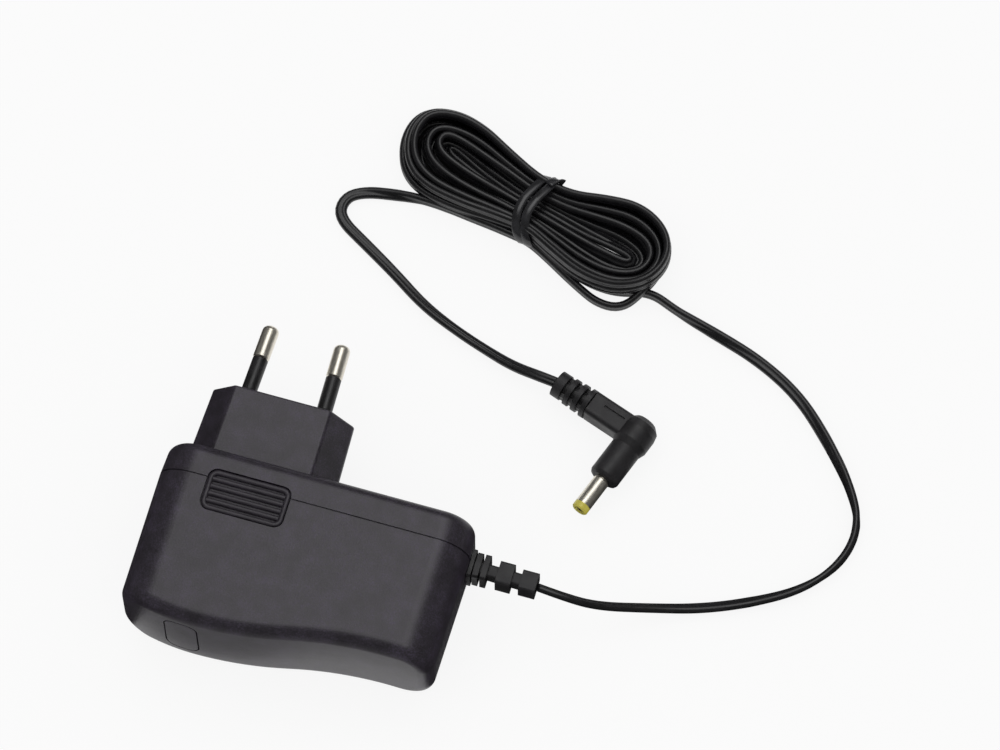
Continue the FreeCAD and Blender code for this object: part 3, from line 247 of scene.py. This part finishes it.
def gripTree(settings):
    # adds the frame and the ribs to a plate; lengths are inputs, and settings count the facets
    tree = bpy.data.node_groups.new("gripRibs", "GeometryNodeTree")
    face = tree.interface
    face.new_socket("Geometry", in_out="INPUT", socket_type="NodeSocketGeometry")
    for word in ("Width", "Depth", "Corner", "Frame Width", "Rise", "Rib Pitch", "Rib Width", "Rib Length",
                 "Level"):
        face.new_socket(word, in_out="INPUT", socket_type="NodeSocketFloat")
    face.new_socket("Rib Count", in_out="INPUT", socket_type="NodeSocketInt")
    face.new_socket("Material", in_out="INPUT", socket_type="NodeSocketMaterial")
    face.new_socket("Geometry", in_out="OUTPUT", socket_type="NodeSocketGeometry")
    given = addNode(tree, "NodeGroupInput").outputs
    times, less = {"operation": "MULTIPLY"}, {"operation": "SUBTRACT"}

    def bar(curve, width):
        # a bar of oval section along a curve: as wide as given, and twice the rise high
        radius = addNode(tree, "ShaderNodeMath", times, {1: 0.5}, {0: width}).outputs[0]
        oval = addNode(tree, "GeometryNodeCurvePrimitiveCircle", {"mode": "RADIUS"},
                       {"Resolution": settings["ovalSteps"]}, {"Radius": radius}).outputs[0]
        swept = addNode(tree, "GeometryNodeCurveToMesh", values={"Fill Caps": True},
                        links={"Curve": curve, "Profile Curve": oval}).outputs[0]
        height = addNode(tree, "ShaderNodeMath", {"operation": "DIVIDE"},
                         links={0: given["Rise"], 1: radius}).outputs[0]
        flat = addNode(tree, "ShaderNodeCombineXYZ", values={"X": 1.0, "Y": 1.0},
                       links={"Z": height}).outputs[0]
        raised = addNode(tree, "ShaderNodeCombineXYZ", links={"Z": given["Level"]}).outputs[0]
        return addNode(tree, "GeometryNodeTransform", links={
            "Geometry": swept, "Translation": raised, "Scale": flat}).outputs[0]

    across = addNode(tree, "ShaderNodeMath", less, links={
        0: given["Width"], 1: given["Frame Width"]}).outputs[0]
    along = addNode(tree, "ShaderNodeMath", less, links={
        0: given["Depth"], 1: given["Frame Width"]}).outputs[0]
    edge = addNode(tree, "GeometryNodeCurvePrimitiveQuadrilateral", {"mode": "RECTANGLE"},
                   links={"Width": across, "Height": along}).outputs[0]
    halfFrame = addNode(tree, "ShaderNodeMath", times, {1: 0.5}, {0: given["Frame Width"]}).outputs[0]
    bend = addNode(tree, "ShaderNodeMath", less, links={0: given["Corner"], 1: halfFrame}).outputs[0]
    edge = addNode(tree, "GeometryNodeFilletCurve", {"mode": "POLY"}, {"Count": settings["cornerSteps"]},
                   {"Curve": edge, "Radius": bend}).outputs[0]
    frameBar = bar(edge, given["Frame Width"])
    ends = []
    for share in (-0.5, 0.5):
        reach = addNode(tree, "ShaderNodeMath", times, {1: share}, {0: given["Rib Length"]}).outputs[0]
        ends.append(addNode(tree, "ShaderNodeCombineXYZ", links={"X": reach}).outputs[0])
    stroke = addNode(tree, "GeometryNodeCurvePrimitiveLine", links={
        "Start": ends[0], "End": ends[1]}).outputs[0]
    rib = bar(stroke, given["Rib Width"])
    gaps = addNode(tree, "ShaderNodeMath", less, {1: 1.0}, {0: given["Rib Count"]}).outputs[0]
    span = addNode(tree, "ShaderNodeMath", times, links={0: gaps, 1: given["Rib Pitch"]}).outputs[0]
    nearest = addNode(tree, "ShaderNodeMath", times, {1: -0.5}, {0: span}).outputs[0]
    first = addNode(tree, "ShaderNodeCombineXYZ", links={"Y": nearest}).outputs[0]
    pitch = addNode(tree, "ShaderNodeCombineXYZ", links={"Y": given["Rib Pitch"]}).outputs[0]
    row = addNode(tree, "GeometryNodeMeshLine", links={
        "Count": given["Rib Count"], "Start Location": first, "Offset": pitch}).outputs[0]
    ribs = addNode(tree, "GeometryNodeInstanceOnPoints", links={"Points": row, "Instance": rib}).outputs[0]
    joined = addNode(tree, "GeometryNodeJoinGeometry")
    for source in (given["Geometry"], frameBar, ribs):
        tree.links.new(source, joined.inputs[0])
    real = addNode(tree, "GeometryNodeRealizeInstances", links={"Geometry": joined.outputs[0]}).outputs[0]
    done = addNode(tree, "GeometryNodeSetMaterial", links={
        "Geometry": real, "Material": given["Material"]}).outputs[0]
    addNode(tree, "NodeGroupOutput", links={0: done})
    return tree


def grownMesh(piece, tree, values, mergeWithin):
    # the tree's result as a plain mesh with outward faces
    growth = piece.modifiers.new("growth", "NODES")
    growth.node_group = tree
    for item in tree.interface.items_tree:
        if item.item_type == "SOCKET" and item.in_out == "INPUT" and item.name in values:
            growth[item.identifier] = values[item.name]
    found = bpy.data.meshes.new_from_object(piece.evaluated_get(bpy.context.evaluated_depsgraph_get()))
    piece.modifiers.remove(growth)
    shape = bmesh.new()
    shape.from_mesh(found)
    bmesh.ops.remove_doubles(shape, verts=shape.verts, dist=mergeWithin)
    bmesh.ops.recalc_face_normals(shape, faces=shape.faces)
    shape.to_mesh(found)
    shape.free()
    return found


def makeGrip(name, node, settings, tree, upper):
    # a thin plate under the ribs, let into the upper or the lower side of the cover
    sign = 1 if upper else -1
    outer = settings["topLevel"] if upper else 0.0
    outline = roundedOutline(settings)
    count = len(outline)
    verts = [(x, y, z) for z in (outer - sign * settings["bottom"], outer - sign * settings["floor"])
             for x, y in outline]
    faces = [tuple(range(count)), tuple(range(count, 2 * count))]
    faces += [(k, (k + 1) % count, count + (k + 1) % count, count + k) for k in range(count)]
    piece = putMesh(name, verts, faces, gripMaterial, False)
    values = {"Width": settings["width"], "Depth": settings["depth"], "Corner": settings["corner"],
              "Frame Width": settings["frameWidth"], "Rise": settings["rise"],
              "Rib Pitch": settings["ribPitch"], "Rib Width": settings["ribWidth"],
              "Rib Length": settings["ribLength"], "Level": outer - sign * settings["rise"],
              "Rib Count": settings["ribCount"], "Material": gripMaterial}
    piece.data = grownMesh(piece, tree, values, settings["mergeWithin"])
    for vert in piece.data.vertices:
        vert.co.x += settings["centreX"]
        vert.co.y += settings["centreY"]
    for polygon in piece.data.polygons:
        # only the bars' round sides are smooth: not their ends, nor the plate
        polygon.use_smooth = len(polygon.vertices) == 4 and abs(polygon.normal.z) > 0.001
    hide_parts(node)
    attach(piece, "root")


ribTree = gripTree(gripSettings)
makeGrip("upperFingerGrip", "upper_grip", gripSettings, ribTree, True)
makeGrip("lowerFingerGrip", "lower_grip", gripSettings, ribTree, False)
print("grips made")


# sweeping a section along a line

def readSpline(name, points, resolution=6):
    # a NURBS line through the given control points, read back as plain points
    curve = bpy.data.curves.new(name, "CURVE")
    curve.dimensions = "3D"
    spline = curve.splines.new("NURBS")
    spline.points.add(len(points) - 1)
    for spot, point in zip(spline.points, points):
        spot.co = (*point, 1)
    spline.order_u = 3
    spline.use_endpoint_u = True
    spline.resolution_u = resolution
    holder = bpy.data.objects.new(name, curve)
    bpy.context.scene.collection.objects.link(holder)
    bpy.context.view_layer.update()
    mesh = bpy.data.meshes.new_from_object(holder)
    line = [v.co.copy() for v in mesh.vertices]
    bpy.data.objects.remove(holder)
    bpy.data.meshes.remove(mesh)
    bpy.data.curves.remove(curve)
    return line


def lengthsAlong(line):
    total, found = 0.0, [0.0]
    for a, b in zip(line, line[1:]):
        total += (b - a).length
        found.append(total)
    return found


def evenly(line, step):
    # the same line with points an even step apart
    along = lengthsAlong(line)
    count = max(2, round(along[-1] / step))
    spots, k = [], 0
    for n in range(count + 1):
        want = along[-1] * n / count
        while k < len(along) - 2 and along[k + 1] < want:
            k += 1
        share = (want - along[k]) / max(along[k + 1] - along[k], 1e-9)
        spots.append(line[k].lerp(line[k + 1], share))
    return spots


def sweep(line, section, upward, twist, closed=False):
    # section points are (wide, thick) pairs; twist is how far each place turns the wide side from flat
    # to standing, in radians
    verts, faces = [], []
    count, ring = len(line), len(section)
    for k, spot in enumerate(line):
        before = line[k - 1] if k or closed else line[0]
        after = line[(k + 1) % count] if k < count - 1 or closed else line[-1]
        ahead = (after - before).normalized()
        side = ahead.cross(upward).normalized()
        up = side.cross(ahead)
        turn = twist[k]
        wide = side * math.cos(turn) + up * math.sin(turn)
        thick = up * math.cos(turn) - side * math.sin(turn)
        verts += [spot + wide * a + thick * b for a, b in section]
    for k in range(count if closed else count - 1):
        here, there = k * ring, ((k + 1) % count) * ring
        for j in range(ring):
            n = (j + 1) % ring
            faces.append((here + j, here + n, there + n, there + j))
    if not closed:
        faces.append(tuple(range(ring))[::-1])
        faces.append(tuple((count - 1) * ring + j for j in range(ring)))
    return verts, faces


# cord: flat twin PVC lead, one line from the strain relief through the hank to the plug

cordSettings = {"width": 2.9 * mm, "thickness": 1.72 * mm, "step": 1.1 * mm, "floorGap": 0.02 * mm,
                "lookAhead": 60, "seed": 7, "wander": 0.25,
                "startPoint": (57.8, 78.6, 0.95), "startStations": 3, "startShare": 0.07, "startLevel": 1.4,
                "startSteep": 80, "leftEnd": -5.0, "endToEnd": 60.0,
                "leadHump": (57.5, 80.0), "humpHeight": 1.5, "humpReach": 8.0, "stackFrom": 7.35,
                "waist": 25.0, "waistSteep": 85, "squeeze": 0.16, "squeezeReach": 12.0, "loopSteep": 90}

# the two free stretches, from the strain relief and to the plug: control points in millimetres
leadPoints = [
    (53.7, -5.0, 11.4), (59.7, -5.6, 11.4), (67.8, -4.4, 7.6), (79.4, 0.2, 3.2), (90.6, 4.0, 1.3),
    (101.6, 8.8, 1.3), (112.5, 15.3, 1.3), (119.7, 24.3, 1.2), (121.2, 34.6, 1.2), (116.1, 44.0, 1.3),
    (108.1, 53.4, 1.4), (99.1, 62.2, 1.4), (87.9, 68.4, 1.4), (75.5, 72.4, 1.3), (65.6, 75.2, 1.1)]
tailPoints = [
    (6.5, 85.9, 1.45), (-0.8, 86.6, 1.45), (-8.1, 86.0, 1.2), (-15.3, 84.8, 0.9), (-19.4, 82.1, 0.9),
    (-19.5, 76.7, 0.9), (-10.8, 71.5, 1.0), (-2.0, 66.1, 1.1), (6.7, 60.2, 1.1), (15.3, 56.3, 1.1),
    (24.6, 53.0, 1.3), (32.1, 50.3, 2.6), (39.0, 48.9, 4.4), (43.44, 48.37, 4.4)]
# the widest and the narrowest turn of the hank, in order from the near side of its waist
outerTurn = [
    (25.0, 85.0), (17.0, 86.0), (8.0, 86.6), (-1.6, 88.6), (-7.0, 93.2), (-8.9, 100.8), (-6.4, 107.4),
    (0.8, 109.0), (8.6, 107.0), (16.0, 102.6), (25.0, 97.9), (33.5, 95.9), (42.0, 97.0), (50.4, 97.2),
    (57.6, 92.8), (60.2, 86.0), (57.6, 78.8), (50.4, 75.2), (41.2, 76.2), (32.6, 80.7)]
innerTurn = [
    (25.0, 91.5), (17.5, 93.8), (10.5, 96.4), (5.2, 98.8), (2.0, 100.4), (0.9, 101.5), (2.2, 102.1),
    (5.4, 100.5), (10.9, 97.7), (17.8, 94.8), (25.0, 92.3), (32.4, 90.2), (39.3, 88.3), (45.8, 86.7),
    (50.0, 85.7), (51.2, 84.8), (50.0, 84.0), (45.0, 85.1), (39.0, 86.9), (32.1, 89.1)]
# how far in each turn lies at the left and the right end, how high, and how steep the flat cord stands:
# in at the bottom, out again on top, then down the outside as a stack
hankKeys = [
    (0.0, 0.0, 0.0, 1.2, 30), (4.5, 1.0, 1.0, 1.15, 20), (4.9, 0.96, 0.86, 2.7, 40),
    (5.25, 0.7, 0.52, 4.2, 70), (5.8, 0.56, 0.4, 4.3, 60), (6.5, 0.36, 0.24, 4.5, 60),
    (7.0, 0.2, 0.12, 5.3, 75), (7.35, 0.1, 0.06, 6.7, 88), (7.8, 0.0, 0.0, 6.9, 90), (8.3, 0.0, 0.0, 5.3, 90),
    (8.75, -0.03, -0.02, 4.3, 90), (9.3, -0.14, -0.05, 2.7, 90), (9.75, -0.06, -0.04, 2.0, 90)]
looseLoop = [
    (59.3, 86.4, 2.9), (58.0, 80.4, 3.4), (55.9, 77.0, 2.8), (53.6, 73.6, 1.8), (50.4, 72.0, 1.45),
    (45.8, 72.4, 1.45), (41.4, 74.6, 1.45), (37.4, 76.8, 1.45), (32.0, 80.0, 1.45), (26.6, 82.9, 1.45),
    (22.6, 83.6, 1.45), (17.0, 84.5, 1.4), (12.0, 85.1, 1.4)]


def between(keys, at):
    # values at one place of a list of (place, value, ...) rows
    for low, high in zip(keys, keys[1:]):
        if at <= high[0]:
            share = max(0.0, (at - low[0]) / (high[0] - low[0]))
            return [a + (b - a) * share for a, b in zip(low[1:], high[1:])]
    return list(keys[-1][1:])


def hankPoints(settings):
    # control points of the hank in millimetres, and how steep the cord stands at each in degrees
    chance = random.Random(settings["seed"])
    stations = len(outerTurn)
    crossX, crossY = settings["leadHump"]
    found, steep = [settings["startPoint"]], [settings["waistSteep"]]
    for step in range(stations - settings["startStations"], stations):
        (ax, ay), (bx, by) = outerTurn[step], innerTurn[step]
        share = settings["startShare"]
        found.append((ax + (bx - ax) * share, ay + (by - ay) * share, settings["startLevel"]))
        steep.append(settings["startSteep"])
    for step in range(int(hankKeys[-1][0] * stations)):
        turn, k = step / stations, step % stations
        left, right, level, stand = between(hankKeys, turn)
        (ax, ay), (bx, by) = outerTurn[k], innerTurn[k]
        side = max(0.0, min(1.0, (ax - settings["leftEnd"]) / settings["endToEnd"]))
        share = left + (right - left) * side
        if turn > settings["stackFrom"]:
            # the top turns rise where the lead passes under them
            away = math.hypot(ax - crossX, ay - crossY) / settings["humpReach"]
            level += settings["humpHeight"] * math.exp(-away * away)
        # the tie presses the turns down and stands them on edge
        near = (ax - settings["waist"]) / settings["squeezeReach"]
        level *= 1 - settings["squeeze"] * math.exp(-near * near)
        stand += (settings["waistSteep"] - stand) * math.exp(-near * near)
        drift = [chance.uniform(-1, 1) * settings["wander"] * min(1.0, share * 2) for axis in range(2)]
        found.append((ax + (bx - ax) * share + drift[0], ay + (by - ay) * share + drift[1], level))
        steep.append(stand)
    return found + looseLoop, steep + [settings["loopSteep"]] * len(looseLoop)


def figureEight(settings, count=9):
    # outline of two round cores side by side with a groove between them
    radius = settings["thickness"] / 2
    centre = settings["width"] / 2 - radius
    meet = math.pi - math.acos(min(1.0, centre / radius))
    right = [(centre + radius * math.cos(a), radius * math.sin(a))
             for a in (-meet + 2 * meet * k / count for k in range(count + 1))]
    left = [(-x, -y) for x, y in right]
    return right[:-1] + left[:-1]


# how the flat cord stands on its way, in degrees from flat, one value for each control point
leadSteep = [60, 58, 50, 40, 32, 34, 62, 92, 100, 70, 30, 12, 10, 40, 84]
tailSteep = [90, 84, 40, 6, 0, 0, 4, 14, 26, 36, 34, 24, 16, 20]


def standing(line, points, steep, lookAhead):
    # the place nearest to each control point takes its turn, in order along the route, and the places
    # between them blend
    marks, at = [], 0
    for point in points:
        ahead = range(at, min(len(line), at + lookAhead))
        at = min(ahead, key=lambda k: (line[k] - point).length)
        marks.append(at)
    keys = list(zip(marks, steep))
    kept = [keys[0]] + [b for a, b in zip(keys, keys[1:]) if b[0] > a[0]]
    return [math.radians(between(kept, k)[0]) for k in range(len(line))]


hankRoute, hankSteep = hankPoints(cordSettings)
route = [Vector(p) * mm for p in leadPoints + hankRoute + tailPoints]
cordLine = evenly(readSpline("cordRoute", route), cordSettings["step"])
cordAlong = lengthsAlong(cordLine)
cordTurns = standing(cordLine, route, leadSteep + hankSteep + tailSteep, cordSettings["lookAhead"])
coreRadius = cordSettings["thickness"] / 2
coreOffset = cordSettings["width"] / 2 - coreRadius
for spot, turn in zip(cordLine, cordTurns):
    # the section never dips under the table
    spot.z = max(spot.z, coreRadius + coreOffset * abs(math.sin(turn)) + cordSettings["floorGap"])
cordSection = figureEight(cordSettings)
cordVerts, cordFaces = sweep(cordLine, cordSection, Vector((0, 0, 1)), cordTurns)
cord = putMesh("twinCord", cordVerts, cordFaces, cordMaterial)
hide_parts("cord_lead", "cord_hank", "cord_tail")
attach(cord, "root")
print("cord made, length", round(cordAlong[-1], 3))


# tie: glossy strip wound twice round the waist of the hank

tieSettings = {"width": 2.1 * mm, "thickness": 0.6 * mm, "step": 0.5 * mm}
tieWraps = [
    [(26.2, 98.4, 6.2), (24.4, 94.6, 7.7), (22.8, 90.6, 8.2), (22.2, 86.6, 7.8), (23.0, 83.2, 5.6),
     (24.6, 81.9, 3.0), (25.6, 82.4, 0.7), (25.8, 86.0, 0.42), (26.0, 92.0, 0.4), (26.2, 97.4, 0.42),
     (26.4, 99.2, 1.0), (26.4, 99.6, 3.8)],
    [(28.6, 97.8, 6.4), (27.2, 94.2, 7.9), (25.6, 90.6, 8.6), (24.5, 86.8, 8.2), (25.1, 83.3, 5.8),
     (26.4, 81.6, 3.0), (27.6, 82.2, 0.7), (27.9, 86.0, 0.42), (28.2, 92.0, 0.4), (28.4, 97.0, 0.42),
     (28.6, 98.8, 1.0), (28.7, 99.2, 3.8)]]
tieTail = [(27.6, 96.0, 8.0), (28.4, 97.6, 7.5), (29.5, 98.2, 7.0), (30.8, 98.0, 6.5)]


def roundedStrip(settings):
    # section of the strip: half width, half thickness and the bevel of its edges
    w, t, c = settings["width"] / 2, settings["thickness"] / 2, settings["thickness"] / 4
    return [(w - c, -t), (w, -t + c), (w, t - c), (w - c, t), (0, t * 0.8),
            (-w + c, t), (-w, t - c), (-w, -t + c), (-w + c, -t)]


tieVerts, tieFaces = [], []
for wrap in tieWraps + [tieTail]:
    closed = wrap is not tieTail
    points = [Vector(p) * mm for p in wrap]
    if closed:
        # the line runs past its own start, and is cut where it meets it
        line = evenly(readSpline("tieRoute", points + points[:3]), tieSettings["step"])
        start = min(range(len(line) // 2), key=lambda k: (line[k] - line[-1]).length)
        line = line[start:-1]
    else:
        line = evenly(readSpline("tieRoute", points), tieSettings["step"])
    upright = [math.pi / 2] * len(line)
    verts, faces = sweep(line, roundedStrip(tieSettings), Vector((1, 0, 0)), upright, closed)
    base = len(tieVerts)
    tieVerts += verts
    tieFaces += [tuple(base + v for v in face) for face in faces]
tie = putMesh("twistTie", tieVerts, tieFaces, tieMaterial)
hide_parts("cable_tie")
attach(tie, "root")
print("tie made")


# floor, light and camera

# the last seven values place and dim dark floor patches, seen only by glossy rays: painted dark reflections
# on the case
floorSettings = {"size": 3.0, "level": -0.1 * mm, "white": "#f2f2f2", "shadowKept": 0.12,
                 "paintedReflectionLeftEdge": -0.036, "paintedReflectionRightEdge": 0.038, "paintedReflectionSlope": 0.46, "paintedReflectionFront": 0.018,
                 "paintedReflectionGlow": 0.04, "frontPaintedReflection": -0.042, "frontPaintedReflectionShare": 0.7}


def makeFloor(settings):
    # white paper; the camera and mirrors see it lit from within, with part of the shadow kept, and dark
    # patches beside and in front of the case, seen only by reflections, paint dark reflections into the
    # case's sides and front
    material, tree = newMaterial("whitePaperSweep")
    paths = addNode(tree, "ShaderNodeLightPath")
    paper = addNode(tree, "ShaderNodeBsdfDiffuse", values={"Color": linear(settings["white"])})
    place = addNode(tree, "ShaderNodeSeparateXYZ", links={
        0: addNode(tree, "ShaderNodeTexCoord").outputs["Object"]})
    # painted reflection: dark patches to the left, the right and the front of the case
    leftPaintedReflection = addNode(tree, "ShaderNodeMath", {"operation": "LESS_THAN"}, {1: settings["paintedReflectionLeftEdge"]},
                       {0: place.outputs["X"]})
    pastRight = addNode(tree, "ShaderNodeMath", {"operation": "GREATER_THAN"}, {1: settings["paintedReflectionRightEdge"]},
                        {0: place.outputs["X"]})
    slant = addNode(tree, "ShaderNodeMath", {"operation": "MULTIPLY_ADD"}, {
        1: settings["paintedReflectionSlope"], 2: settings["paintedReflectionFront"] - settings["paintedReflectionSlope"] * settings["paintedReflectionRightEdge"]},
        {0: place.outputs["X"]})
    below = addNode(tree, "ShaderNodeMath", {"operation": "LESS_THAN"}, links={
        0: place.outputs["Y"], 1: slant.outputs[0]})
    rightPaintedReflection = addNode(tree, "ShaderNodeMath", {"operation": "MULTIPLY"}, links={
        0: pastRight.outputs[0], 1: below.outputs[0]})
    sidePaintedReflections = addNode(tree, "ShaderNodeMath", {"operation": "MAXIMUM"}, links={
        0: leftPaintedReflection.outputs[0], 1: rightPaintedReflection.outputs[0]})
    inFront = addNode(tree, "ShaderNodeMath", {"operation": "LESS_THAN"}, {1: settings["frontPaintedReflection"]},
                      {0: place.outputs["Y"]})
    frontPaintedReflection = addNode(tree, "ShaderNodeMath", {"operation": "MULTIPLY"}, {1: settings["frontPaintedReflectionShare"]},
                        {0: inFront.outputs[0]})
    allPaintedReflections = addNode(tree, "ShaderNodeMath", {"operation": "MAXIMUM"}, links={
        0: sidePaintedReflections.outputs[0], 1: frontPaintedReflection.outputs[0]})
    # only glossy rays see the painted dark reflections
    paintedReflectionMask = addNode(tree, "ShaderNodeMath", {"operation": "MULTIPLY"}, links={
        0: allPaintedReflections.outputs[0], 1: paths.outputs["Is Glossy Ray"]})
    glowLevel = addNode(tree, "ShaderNodeMapRange", values={"To Min": 1.0, "To Max": settings["paintedReflectionGlow"]},
                        links={"Value": paintedReflectionMask.outputs[0]})
    glow = addNode(tree, "ShaderNodeEmission", values={"Color": (1, 1, 1, 1)},
                   links={"Strength": glowLevel.outputs[0]})
    keep = settings["shadowKept"]
    cameraShare = addNode(tree, "ShaderNodeMath", {"operation": "MULTIPLY"}, {1: 1 - keep},
                          {0: paths.outputs["Is Camera Ray"]})
    share = addNode(tree, "ShaderNodeMath", {"operation": "MAXIMUM"}, links={
        0: cameraShare.outputs[0], 1: paths.outputs["Is Glossy Ray"]})
    mixed = addNode(tree, "ShaderNodeMixShader", links={
        0: share.outputs[0], 1: paper.outputs[0], 2: glow.outputs[0]})
    finishMaterial(tree, mixed.outputs[0])
    half, level = settings["size"] / 2, settings["level"]
    corners = [(-half, -half, level), (half, -half, level), (half, half, level), (-half, half, level)]
    floor = putMesh("floor", corners, [(0, 1, 2, 3)], material, False)


worldSettings = {"ambient": 0.75, "boxX": (-0.32, -0.18, 0.2, 0.36), "boxY": (-0.35, 0.12, 0.6, 0.8),
                 "low": 0.12, "high": 2.15}


def makeWorld(settings):
    # even light all round; gloss shows one long softbox overhead in a dim room; the camera sees white
    world = bpy.data.worlds.new("softStudio")
    bpy.context.scene.world = world
    world.use_nodes = True
    tree = world.node_tree
    tree.nodes.clear()
    paths = addNode(tree, "ShaderNodeLightPath")
    way = addNode(tree, "ShaderNodeSeparateXYZ", links={
        0: addNode(tree, "ShaderNodeTexCoord").outputs["Generated"]})
    edges = []
    for axis, key in (("X", "boxX"), ("Y", "boxY")):
        low, risen, kept, high = settings[key]
        for start, end in ((low, risen), (high, kept)):
            edge = addNode(tree, "ShaderNodeMapRange", {"interpolation_type": "SMOOTHSTEP"},
                           {"From Min": start, "From Max": end}, {"Value": way.outputs[axis]})
            edges.append(edge.outputs[0])
    share = edges[0]
    for edge in edges[1:]:
        share = addNode(tree, "ShaderNodeMath", {"operation": "MULTIPLY"}, links={
            0: share, 1: edge}).outputs[0]
    upper = addNode(tree, "ShaderNodeMath", {"operation": "GREATER_THAN"}, {1: 0.0}, {0: way.outputs["Z"]})
    box = addNode(tree, "ShaderNodeMath", {"operation": "MULTIPLY"}, links={0: share, 1: upper.outputs[0]})
    gloss = addNode(tree, "ShaderNodeMapRange", links={"Value": box.outputs[0]},
                    values={"To Min": settings["low"], "To Max": settings["high"]})
    lit = addNode(tree, "ShaderNodeMapRange", values={"To Min": settings["ambient"]},
                  links={"Value": paths.outputs["Is Glossy Ray"], "To Max": gloss.outputs[0]})
    level = addNode(tree, "ShaderNodeMapRange", values={"To Max": 1.0}, links={
        "Value": paths.outputs["Is Camera Ray"], "To Min": lit.outputs[0]})
    back = addNode(tree, "ShaderNodeBackground", values={"Color": (1, 1, 1, 1)},
                   links={"Strength": level.outputs[0]})
    addNode(tree, "ShaderNodeOutputWorld", links={"Surface": back.outputs[0]})


lampSettings = {"place": (-0.35, 0.35, 1.0), "target": (0.03, 0.03, 0), "size": (0.5, 0.4), "power": 0.5}


def makeLamp(name, settings):
    # a softbox high behind the object, which gloss doesn't mirror
    lamp = bpy.data.lights.new(name, "AREA")
    lamp.shape = "RECTANGLE"
    lamp.size, lamp.size_y = settings["size"]
    lamp.energy = settings["power"]
    holder = bpy.data.objects.new(name, lamp)
    holder.location = settings["place"]
    aim = Vector(settings["target"]) - Vector(settings["place"])
    holder.rotation_euler = aim.to_track_quat("-Z", "Y").to_euler()
    holder.visible_glossy = False
    bpy.context.scene.collection.objects.link(holder)


cameraSettings = {"azimuth": 16.224, "elevation": 67.158, "distance": 1.3, "right": 0.04161, "up": 0.035268,
                  "lens": 199.24, "sensor": 36, "near": 0.01, "far": 20}


def makeCamera(name, settings):
    # the photograph's view; right and up move its middle away from the origin
    azimuth, elevation = math.radians(settings["azimuth"]), math.radians(settings["elevation"])
    back = Vector((math.sin(azimuth) * math.cos(elevation), -math.cos(azimuth) * math.cos(elevation),
                   math.sin(elevation)))
    right = Vector((math.cos(azimuth), math.sin(azimuth), 0))
    data = bpy.data.cameras.new(name)
    data.sensor_width = settings["sensor"]
    data.lens = settings["lens"]
    data.clip_start, data.clip_end = settings["near"], settings["far"]
    camera = bpy.data.objects.new(name, data)
    camera.location = (right * settings["right"] + back.cross(right) * settings["up"]
                       + back * settings["distance"])
    camera.rotation_euler = (-back).to_track_quat("-Z", "Y").to_euler()
    bpy.context.scene.collection.objects.link(camera)
    bpy.context.scene.camera = camera


makeFloor(floorSettings)
makeWorld(worldSettings)
makeLamp("keySoftbox", lampSettings)
makeCamera("photoCamera", cameraSettings)
bpy.context.scene.view_settings.view_transform = "Standard"
print("stage made")
